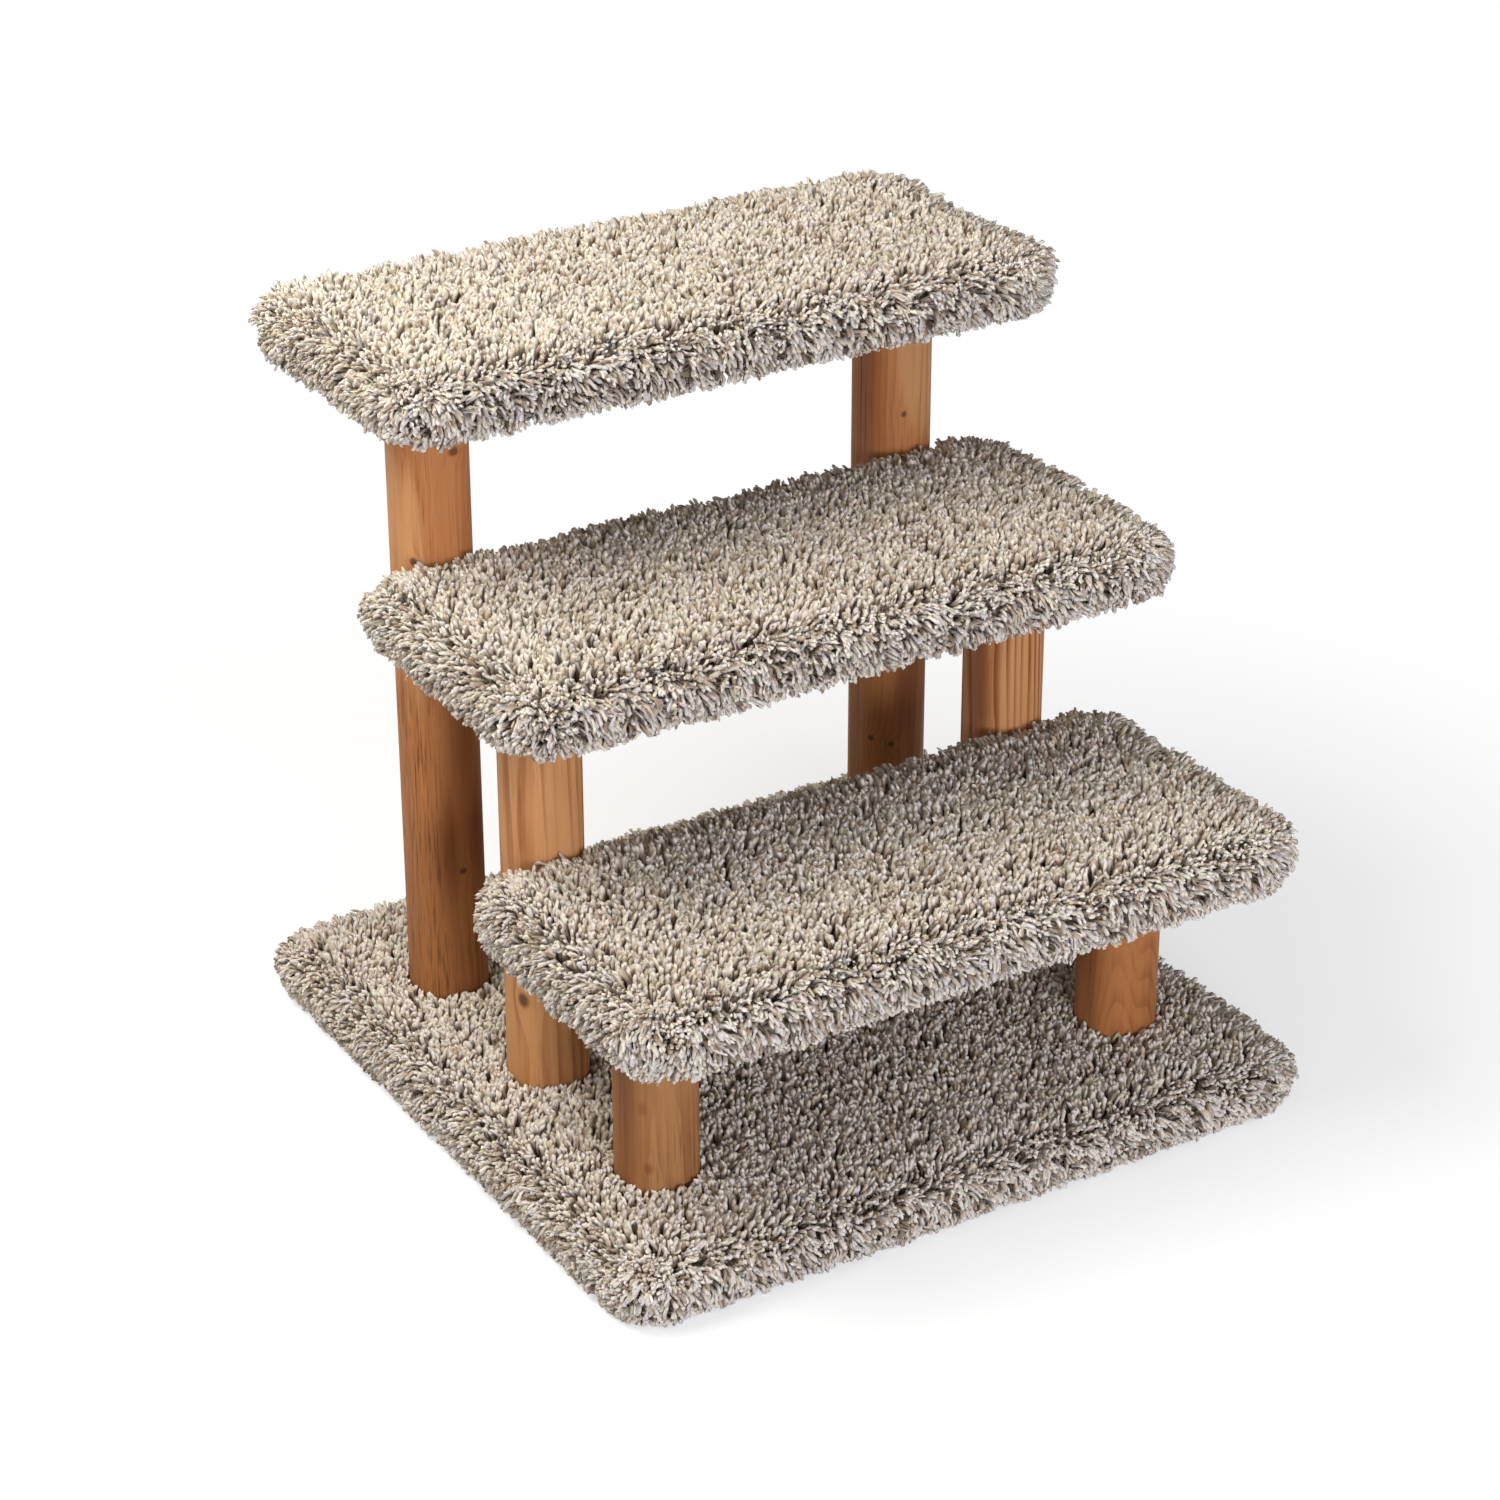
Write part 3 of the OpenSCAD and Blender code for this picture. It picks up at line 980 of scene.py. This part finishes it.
def backing_material(settings):
    """Woven jute: warp and weft that pass over and under each other, with uneven threads."""
    material = bpy.data.materials.new("carpet_backing")
    s = Shader(material)
    place = s.coordinates()
    turns = math.pi / settings.thread
    wander = s.noise(place, 60.0, 2.0) * 1.2
    x, y, z = s.split(place)
    warp = (x * turns + z * turns + wander).sine()
    weft = (y * turns + z * turns + wander).sine()
    weave = (warp * weft) * 0.5 + 0.5
    slubs = s.noise(s.stretch(place, (1.0, 0.2, 0.4)), 500.0, 3.0)
    # The jute's colour is darker than bare jute: partly its own colour, partly painted shade for the gaps
    # among the tufts.
    dark, light = colour4(settings.colour, 0.5), colour4(settings.colour, 1.5)
    mixed = s.blend(weave * 0.65 + slubs * 0.35, dark, light)
    s.finish({
        "Base Color": mixed,
        "Roughness": 0.90 + slubs * 0.08,
        "Specular IOR Level": 0.2,
    }, weave + slubs * 0.4, 0.0006, 0.6)
    return material


def spots(s, place, marks, soft, wide):
    """How near each place is to the nearest of some marks: 1 inside one, easing to 0 past its rim.

    A mark is an ellipsoid whose distance is 1 at its rim. Also returns a wider swell about them,
    which falls off with the square of the distance.
    """
    narrowness = 0.35
    core, swell = None, None
    for centre, radii in marks:
        scale = tuple(1 / r for r in radii)
        shift = tuple(-c / r for c, r in zip(centre, radii))
        away = s.add("ShaderNodeVectorMath", {"operation": "LENGTH"},
                     {0: s.stretch(place, scale, shift)}, output="Value")
        inside = 1 - away.step(soft, wide)
        bulge = 1 / (1 + away * away * narrowness)
        core = inside if core is None else core.at_least(inside)
        swell = bulge if swell is None else swell + bulge
    return core, swell


def post_material(name, settings, middle, look):
    """Stained softwood: growth rings about the pith, fine grain along the post, knots and stains.

    The rings are the distance from the pith, a line along the post that may lean, which noise and
    the knots bend. Each has a pale part that darkens slowly to a thin dark line. Past look.sap
    from the pith, and in the pale patches, the wood is golden sapwood. Hair lines run along the
    grain, most where the sapwood begins. Towards the bottom the post gets painted shade, darker
    and redder, for the shade under the steps.
    """
    drift_reach, knot_reach = 0.026, 0.009
    sap_fade, rim_inset, rim_width = 0.014, 0.006, 0.011
    foot_from, foot_to = 0.10, 0.52
    material = bpy.data.materials.new(name)
    s = Shader(material)
    place = s.coordinates()
    centred = s.stretch(place, (1, 1, 1), (-middle[0], -middle[1], 0))
    drift = s.noise(s.stretch(centred, (1.0, 1.0, 0.16)), 11.0, 1.0) - 0.5
    wave = s.noise(s.stretch(centred, (1.0, 1.0, 0.09)), 46.0, 2.0) - 0.5
    x, y, z = s.split(s.stretch(centred, (1, 1, 1), (-look.pith[0], -look.pith[1], 0)))
    y = y + z * look.lean
    away = (x * x + y * y) ** 0.5 + drift * drift_reach + wave * look.ring
    knot, push = spots(s, centred, look.knots, 0.45, 1.3)
    stain, _ = spots(s, centred, look.stains, 0.1, 1.4)
    pale, _ = spots(s, centred, look.pale, 0.75, 1.05)
    away = away + push * knot_reach
    rings = (away / look.ring).fraction()
    line = rings.step(0.30, 0.92) * (1 - rings.step(0.93, 1.0))
    hairs = s.noise(s.stretch(centred, (1.0, 1.0, 0.040)), 640.0, 2.0, 0.6)
    streaks = s.noise(s.stretch(centred, (1.0, 1.0, 0.03)), 170.0, 3.0)
    cloud = s.noise(s.stretch(centred, (1.0, 1.0, 0.3)), 17.0, 3.0)
    pores = s.noise(s.stretch(centred, (1.0, 1.0, 0.03)), 1500.0, 2.0)
    sapwood = away.step(look.sap, look.sap + sap_fade).at_least(pale)
    light = s.blend(sapwood, colour4(settings.light, look.tone), colour4(settings.golden, look.tone))
    dark = colour4(settings.dark, look.tone)
    amount = line * (cloud * 1.2 + 0.4) * look.contrast + (streaks - 0.5) * 1.1 + (cloud - 0.5) * 1.1
    stained = s.blend(amount.at_least(0).at_most(1), light, dark)
    rim = (away - (look.sap - rim_inset)) / rim_width
    rim = 1 - (rim * rim).at_most(1)
    fine = hairs.step(0.50, 0.66) * (cloud.step(0.40, 0.56) * 0.30 + 0.16 + rim * 0.6) * look.hair
    fine = fine * (1 - pale * 0.85)
    stained = s.blend(fine + pores.step(0.6, 0.8) * 0.12, stained, colour4(settings.dark, look.tone * 0.55))
    stained = s.blend(stain * (0.30 + cloud * 0.8), stained, colour4(settings.dark, look.tone * 1.05))
    stained = s.blend(knot * 0.85, stained, colour4(settings.knot))
    # Painted shade: the colour darkens and reddens towards the bottom of the post, for the shade under the
    # steps.
    shade = look.foot + z.step(foot_from, foot_to) * (1 - look.foot)
    shade = s.add("ShaderNodeCombineColor",
                  values={"Red": shade, "Green": shade ** 1.10, "Blue": shade ** 1.45})
    stained = s.blend(1.0, stained, shade, "MULTIPLY")
    s.finish({
        "Base Color": stained,
        "Roughness": 0.52 + streaks * 0.16 + line * 0.08,
        "Specular IOR Level": 0.25,
    }, line * -0.4 - fine * 0.6 + streaks * 0.4, 0.0005, 0.35)
    return material


def plywood_material(settings):
    """Pale sanded plywood: broad wavy figure along the board and fine pores."""
    material = bpy.data.materials.new("plywood")
    s = Shader(material)
    place = s.coordinates()
    figure = s.noise(s.stretch(place, (0.12, 1.0, 1.0)), 22.0, 3.0)
    bands = ((figure * 9.0).fraction()).step(0.1, 0.9)
    pores = s.noise(s.stretch(place, (0.04, 1.0, 1.0)), 700.0, 2.0)
    mixed = s.blend(bands * 0.5 + pores * 0.4, colour4(settings.plywood), colour4(settings.plywood, 0.72))
    s.finish({
        "Base Color": mixed,
        "Roughness": 0.62 + pores * 0.2,
        "Specular IOR Level": 0.3,
    }, pores, 0.0003, 0.4)
    return material


def steel_material():
    """Bright zinc-plated steel with faint drawn lines and dull patches."""
    material = bpy.data.materials.new("fastener_steel")
    s = Shader(material)
    place = s.coordinates()
    lines = s.noise(s.stretch(place, (1.0, 1.0, 0.1)), 2600.0, 2.0)
    dull = s.noise(place, 300.0, 2.0)
    mixed = s.blend(dull, (0.62, 0.62, 0.60, 1), (0.45, 0.46, 0.47, 1))
    s.finish({
        "Base Color": mixed,
        "Metallic": 1.0,
        "Roughness": 0.26 + dull * 0.16 + lines * 0.06,
    }, lines, 0.0001, 0.2)
    return material


def dress(node, material):
    """Gives a CAD node's object a material."""
    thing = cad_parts[node]
    thing.data.materials.clear()
    thing.data.materials.append(material)


# Operators


class StairsOperator:
    """What the operators share."""

    bl_options = {"REGISTER", "UNDO"}


class STAIRS_OT_lay_carpets(StairsOperator, bpy.types.Operator):
    """Stretch a woven backing round each board and stand the yarn tufts on it"""

    bl_idname = "pet_stairs.lay_carpets"
    bl_label = "Lay the carpets"

    def execute(self, context):
        pile = context.scene.stairs_pile
        backing = context.scene.stairs_backing
        yarn = yarn_material()
        jute = backing_material(backing)
        for number, piece in enumerate(boards()):
            seed = pile.seed + 100 * number
            tufts = pile_pieces(piece, pile, seed)
            for thing in tufts:
                thing.data.materials.append(yarn)
                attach(thing, "root")
            cloth = backing_piece(piece, backing.cell, jute)
        return {"FINISHED"}


def backing_piece(piece, cell, material):
    """The backing of one board as a closed thin shell, in place of its plain CAD carpet."""
    points, loops = backing_mesh(piece, cell)
    cloth = mesh_object(f"{carpet_name(piece)}_backing", points, loops, np.full(len(loops) // 4, 4))
    wall = cloth.modifiers.new("thickness", "SOLIDIFY")
    wall.thickness = BACKING - BOARD_GAP
    wall.offset = -1.0
    cloth.data.materials.append(material)
    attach(cloth, "root")
    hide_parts(carpet_name(piece))
    return cloth


def pile_pieces(piece, settings, seed):
    """All the tufts of one carpet: its top, its edge and the flap underneath, in modest pieces.

    A top is cut from front to back into equal bands, and an edge halfway round.
    """
    name = carpet_name(piece)
    rng = np.random.default_rng(seed)
    roots = top_roots(rng, piece, settings.top_spacing)
    length = outline_length(piece)
    top_seed, edge_seed, under_seed = seed + 10, seed + 20, seed + 40
    made = []
    parts = max(1, math.ceil(len(roots) * TOP_TUFT_TRIANGLES / PIECE_TRIANGLES))
    share = (roots[:, 1] - piece.middle[1]) / (2 * piece.half[1]) + 0.5
    for part in range(parts):
        here = (share >= part / parts) & (share < (part + 1) / parts)
        label = f"{name}_top_tufts" if parts == 1 else f"{name}_top_tufts_{part + 1}"
        made.append(top_tufts(label, roots[here], piece, settings, top_seed + part))
    halves = {"front": lambda s: (s < length / 2), "back": lambda s: (s >= length / 2)}
    for label, chosen in halves.items():
        made.append(edge_tufts(f"{name}_{label}_edge_tufts", piece, settings, edge_seed, chosen))
    made.append(under_tufts(f"{name}_under_tufts", piece, settings, under_seed))
    return made


class STAIRS_OT_stain_posts(StairsOperator, bpy.types.Operator):
    """Give each post its own piece of stained softwood"""

    bl_idname = "pet_stairs.stain_posts"
    bl_label = "Stain the posts"

    def execute(self, context):
        wood = context.scene.stairs_wood
        for name, look in POST_LOOKS.items():
            dress(name, post_material(f"{name}_wood", wood, post(name).middle, look))
        return {"FINISHED"}


# The pith is measured from the post's middle. Lean is how far it moves to the front over a metre,
# ring is a ring's width, tone is how light the wood is, the value after tone is how light the
# painted shade leaves the bottom of the post, contrast and hair are how bold the rings and hair
# lines are, and sap is how far from the pith the sapwood begins.
# Knots, stains and pale patches are centres with their radii.
Look = namedtuple("Look", "pith lean ring tone foot contrast hair sap knots stains pale")

POST_LOOKS = {
    "upper_left_post": Look(
        pith=(0.050, 0.004), lean=0.0, ring=0.0052, tone=0.90, foot=0.66, contrast=0.22, hair=0.8,
        sap=0.086,
        knots=[((0.008, -0.032, 0.553), (0.005, 0.012, 0.0045)),
               ((-0.0275, -0.0215, 0.460), (0.004, 0.004, 0.004)),
               ((0.0016, -0.032, 0.169), (0.0035, 0.010, 0.003)),
               ((0.032, 0.006, 0.330), (0.012, 0.004, 0.005))],
        # The three stains low on the front, under the middle step, are partly a real stain and partly
        # painted shade.
        stains=[((0.006, -0.034, 0.270), (0.012, 0.020, 0.090)),
                ((0.014, -0.034, 0.215), (0.013, 0.020, 0.060)),
                ((-0.010, -0.034, 0.200), (0.010, 0.020, 0.070)),
                ((0.030, 0.010, 0.420), (0.020, 0.016, 0.090))],
        pale=[((-0.034, -0.022, 0.430), (0.020, 0.016, 0.130)),
              ((-0.034, 0.010, 0.450), (0.010, 0.030, 0.130))]),
    "upper_right_post": Look(
        pith=(-0.050, 0.030), lean=0.0, ring=0.0052, tone=0.84, foot=0.62, contrast=0.30, hair=0.45,
        sap=0.085,
        knots=[((-0.033, -0.0005, 0.515), (0.008, 0.0009, 0.060)),
               ((-0.033, -0.0078, 0.490), (0.008, 0.0007, 0.040)),
               ((-0.029, -0.019, 0.180), (0.0035, 0.0035, 0.003)),
               ((-0.0147, -0.031, 0.175), (0.003, 0.008, 0.003)),
               ((-0.0075, -0.032, 0.494), (0.003, 0.008, 0.003)),
               ((0.032, 0.008, 0.420), (0.012, 0.004, 0.005))],
        stains=[((-0.032, -0.012, 0.520), (0.010, 0.022, 0.090)),
                ((-0.001, -0.034, 0.225), (0.012, 0.020, 0.060))],
        pale=[((0.014, -0.034, 0.565), (0.032, 0.020, 0.105))]),
    "middle_left_post": Look(
        pith=(0.085, 0.035), lean=0.0, ring=0.0078, tone=1.00, foot=0.84, contrast=0.50, hair=0.5,
        sap=0.060,
        knots=[((-0.030, -0.016, 0.133), (0.006, 0.006, 0.007)),
               ((0.006, 0.032, 0.250), (0.004, 0.010, 0.005))],
        stains=[((0.030, 0.020, 0.320), (0.016, 0.012, 0.080))],
        pale=[((0.034, -0.010, 0.150), (0.010, 0.016, 0.060))]),
    "middle_right_post": Look(
        pith=(0.090, 0.030), lean=0.0, ring=0.0050, tone=1.04, foot=0.84, contrast=1.0, hair=0.45,
        sap=0.050,
        knots=[((0.032, 0.010, 0.210), (0.010, 0.004, 0.005))],
        stains=[((-0.034, -0.010, 0.290), (0.014, 0.022, 0.090))],
        pale=[((0.034, 0.010, 0.330), (0.010, 0.016, 0.060))]),
    "lower_left_post": Look(
        pith=(0.050, 0.070), lean=0.0, ring=0.0058, tone=0.87, foot=0.70, contrast=0.30, hair=0.9,
        sap=0.068,
        knots=[((0.010, 0.032, 0.120), (0.004, 0.010, 0.005))],
        stains=[((-0.0265, -0.0227, 0.126), (0.006, 0.006, 0.009)),
                ((-0.023, -0.026, 0.071), (0.005, 0.005, 0.007)),
                ((-0.035, -0.008, 0.100), (0.015, 0.026, 0.140))],
        pale=[((0.034, 0.010, 0.080), (0.010, 0.016, 0.060))]),
    "lower_right_post": Look(
        pith=(0.0085, 0.014), lean=0.06, ring=0.0022, tone=0.92, foot=0.80, contrast=0.34, hair=0.35,
        sap=0.200,
        knots=[((0.032, -0.006, 0.140), (0.010, 0.004, 0.004))],
        stains=[((-0.030, 0.010, 0.150), (0.014, 0.020, 0.070))],
        pale=[((0.034, 0.016, 0.080), (0.010, 0.014, 0.060))]),
}


class STAIRS_OT_finish_boards(StairsOperator, bpy.types.Operator):
    """Give the four boards their plywood"""

    bl_idname = "pet_stairs.finish_boards"
    bl_label = "Finish the boards"

    def execute(self, context):
        plywood = plywood_material(context.scene.stairs_wood)
        for piece in boards():
            dress(piece.name, plywood)
        return {"FINISHED"}


class STAIRS_OT_plate_fasteners(StairsOperator, bpy.types.Operator):
    """Give the screws and staples their zinc-plated steel"""

    bl_idname = "pet_stairs.plate_fasteners"
    bl_label = "Plate the fasteners"

    def execute(self, context):
        steel = steel_material()
        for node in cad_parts:
            if node.endswith(("_screws", "_staples")):
                dress(node, steel)
        return {"FINISHED"}


class STAIRS_OT_set_stage(StairsOperator, bpy.types.Operator):
    """Set the floor, the lamps, the white surroundings and the camera of the photograph"""

    bl_idname = "pet_stairs.set_stage"
    bl_label = "Set the stage"

    def execute(self, context):
        settings = context.scene.stairs_stage
        make_floor(settings)
        make_world(settings)
        make_lamps(settings)
        make_camera()
        context.scene.view_settings.view_transform = "Standard"
        return {"FINISHED"}


def seen_directly(s):
    """1 for what the camera sees straight, in a mirror or through glass, and 0 for light."""
    camera = s.add("ShaderNodeLightPath", output="Is Camera Ray")
    node = camera.socket.node
    glossy = Wire(s, node.outputs["Is Glossy Ray"])
    through = Wire(s, node.outputs["Is Transmission Ray"])
    return camera.at_least(glossy).at_least(through)


def make_floor(settings):
    """A wide round floor that takes the shadow near the object and is plain white further out.

    The disc is a grid of rings and spokes, with the radius as one parameter and the angle as
    the other.
    """
    radii = np.array([0.0005, 0.4, 0.8, 1.5, 3.0, 6.0, 12.0, 30.0])
    spokes = 96
    glow, fade_from, fade_to = 0.55, 0.50, 1.15
    angle = np.arange(spokes) * math.tau / spokes
    x, y = radii[:, None] * np.cos(angle), radii[:, None] * np.sin(angle)
    points = np.stack([x, y, np.zeros_like(x)], -1).reshape(-1, 3)
    number = np.arange(len(radii) * spokes).reshape(len(radii), spokes)
    after = np.roll(number, -1, 1)
    quads = np.stack([number[:-1], number[1:], after[1:], after[:-1]], -1).reshape(-1, 4)
    loops = np.concatenate([quads.ravel(), number[0]])
    sizes = np.concatenate([np.full(len(quads), 4), [spokes]])
    floor = mesh_object("studio_floor", points, loops, sizes, smooth=False)
    material = bpy.data.materials.new("studio_floor")
    s = Shader(material)
    place = s.coordinates()
    away = s.add("ShaderNodeVectorMath", {"operation": "LENGTH"}, {0: place}, output="Value")
    matt = s.add("ShaderNodeBsdfDiffuse", values={"Color": colour4(settings.floor)})
    lit = s.add("ShaderNodeEmission", values={"Color": WHITE, "Strength": glow})
    near = s.add("ShaderNodeAddShader", values={0: matt, 1: lit})
    white = s.add("ShaderNodeEmission", values={"Color": WHITE, "Strength": 1.0})
    faded = s.add("ShaderNodeMixShader", values={0: away.step(fade_from, fade_to), 1: near, 2: white})
    shown = s.add("ShaderNodeMixShader", values={0: seen_directly(s), 1: matt, 2: faded})
    s.add("ShaderNodeOutputMaterial", values={"Surface": shown})
    floor.data.materials.append(material)


def make_world(settings):
    """Even light from all round, with plain white to be seen behind the object."""
    world = bpy.data.worlds.new("studio")
    bpy.context.scene.world = world
    s = Shader(world)
    fill = s.add("ShaderNodeBackground",
                 values={"Color": colour4(settings.fill_colour), "Strength": settings.fill})
    white = s.add("ShaderNodeBackground", values={"Color": WHITE, "Strength": 1.0})
    shown = s.add("ShaderNodeMixShader", values={0: seen_directly(s), 1: fill, 2: white})
    s.add("ShaderNodeOutputWorld", values={"Surface": shown})


def hang_lamp(name, kind, place, target, energy, colour):
    """A lamp of some kind at a place, pointed at a target."""
    lamp = bpy.data.lights.new(name, kind)
    lamp.energy = energy
    lamp.color = colour
    thing = bpy.data.objects.new(name, lamp)
    bpy.context.scene.collection.objects.link(thing)
    thing.location = place
    thing.rotation_mode = "QUATERNION"
    thing.rotation_quaternion = (target - place).to_track_quat("-Z", "Y")
    return thing


def make_lamps(settings):
    """A broad sun from the left, a soft key light close above and a wide cool one in front.

    A sun lamp's energy is the irradiance it gives, so pi times a level lights a white surface
    that faces it to that level. An area lamp's energy also goes by pi and the square of its
    distance from the target. The key light's target is the upper step.
    """
    sun = hang_lamp("side_light", "SUN", Vector((-2.2, -1.6, 2.2)), Vector((0.0, 0.0, 0.35)),
                    math.pi * settings.side, settings.key_colour)
    sun.data.angle = math.radians(60)
    for name, place, target, level, colour, size in (
            ("key_light", (-1.01, 0.22, 1.70), (0.0, 0.0, 0.66), settings.key, settings.key_colour,
             (1.4, 1.1)),
            ("front_light", (-0.70, -4.50, 1.25), (0.0, -0.1, 0.30), settings.front,
             settings.front_colour, (2.8, 1.0))):
        place, target = Vector(place), Vector(target)
        energy = level * math.pi ** 2 * (place - target).length_squared
        thing = hang_lamp(name, "AREA", place, target, energy, colour)
        thing.visible_camera = False
        thing.data.shape = "ELLIPSE"
        thing.data.size, thing.data.size_y = size


def make_camera():
    """The photograph's camera, from angles, distance and shift fitted to the outlines in it."""
    yaw, pitch, roll = (math.radians(a) for a in (31.46, -26.61, -0.11))
    distance, pixels = 3.18831, 3825.97
    target = Vector((0, -0.0065, 0.330))
    shift_right, shift_up = 0.02215, 0.03894
    forward = Vector((math.sin(yaw) * math.cos(pitch), math.cos(yaw) * math.cos(pitch),
                      math.sin(pitch)))
    level = Vector((math.cos(yaw), -math.sin(yaw), 0))
    rise = level.cross(forward)
    right = level * math.cos(roll) + rise * math.sin(roll)
    up = rise * math.cos(roll) - level * math.sin(roll)
    place = target - shift_right * right - shift_up * up - distance * forward
    data = bpy.data.cameras.new("photo_camera")
    data.sensor_width = SENSOR
    data.lens = pixels / PHOTO_SIZE * SENSOR
    data.clip_start = 0.05
    data.clip_end = 100
    camera = bpy.data.objects.new("photo_camera", data)
    bpy.context.scene.collection.objects.link(camera)
    turned = Matrix((right, up, -forward)).transposed().to_4x4()
    camera.matrix_world = Matrix.Translation(place) @ turned
    bpy.context.scene.camera = camera


class STAIRS_PT_panel(bpy.types.Panel):
    """The pet stairs' tools and settings"""

    bl_label = "Pet stairs"
    bl_idname = "STAIRS_PT_panel"
    bl_space_type = "VIEW_3D"
    bl_region_type = "UI"
    bl_category = "Pet stairs"

    def draw(self, context):
        for operator in OPERATORS:
            self.layout.operator(operator.bl_idname)
        for name, group in SETTINGS.items():
            box = self.layout.box()
            for prop in group.__annotations__:
                box.prop(getattr(context.scene, name), prop)


OPERATORS = (
    STAIRS_OT_set_stage,
    STAIRS_OT_lay_carpets,
    STAIRS_OT_stain_posts,
    STAIRS_OT_finish_boards,
    STAIRS_OT_plate_fasteners,
)
CLASSES = (*SETTINGS.values(), *OPERATORS, STAIRS_PT_panel)


def register():
    """Adds the classes and the scene's settings to Blender."""
    for c in CLASSES:
        bpy.utils.register_class(c)
    for name, group in SETTINGS.items():
        setattr(bpy.types.Scene, name, PointerProperty(type=group))


def unregister():
    """Takes the settings and classes out again."""
    for name in SETTINGS:
        delattr(bpy.types.Scene, name)
    for c in reversed(CLASSES):
        bpy.utils.unregister_class(c)


def main():
    """Makes the whole scene."""
    register()
    bpy.ops.pet_stairs.set_stage()
    bpy.ops.pet_stairs.lay_carpets()
    bpy.ops.pet_stairs.stain_posts()
    bpy.ops.pet_stairs.finish_boards()
    bpy.ops.pet_stairs.plate_fasteners()


if __name__ == "__main__":
    main()
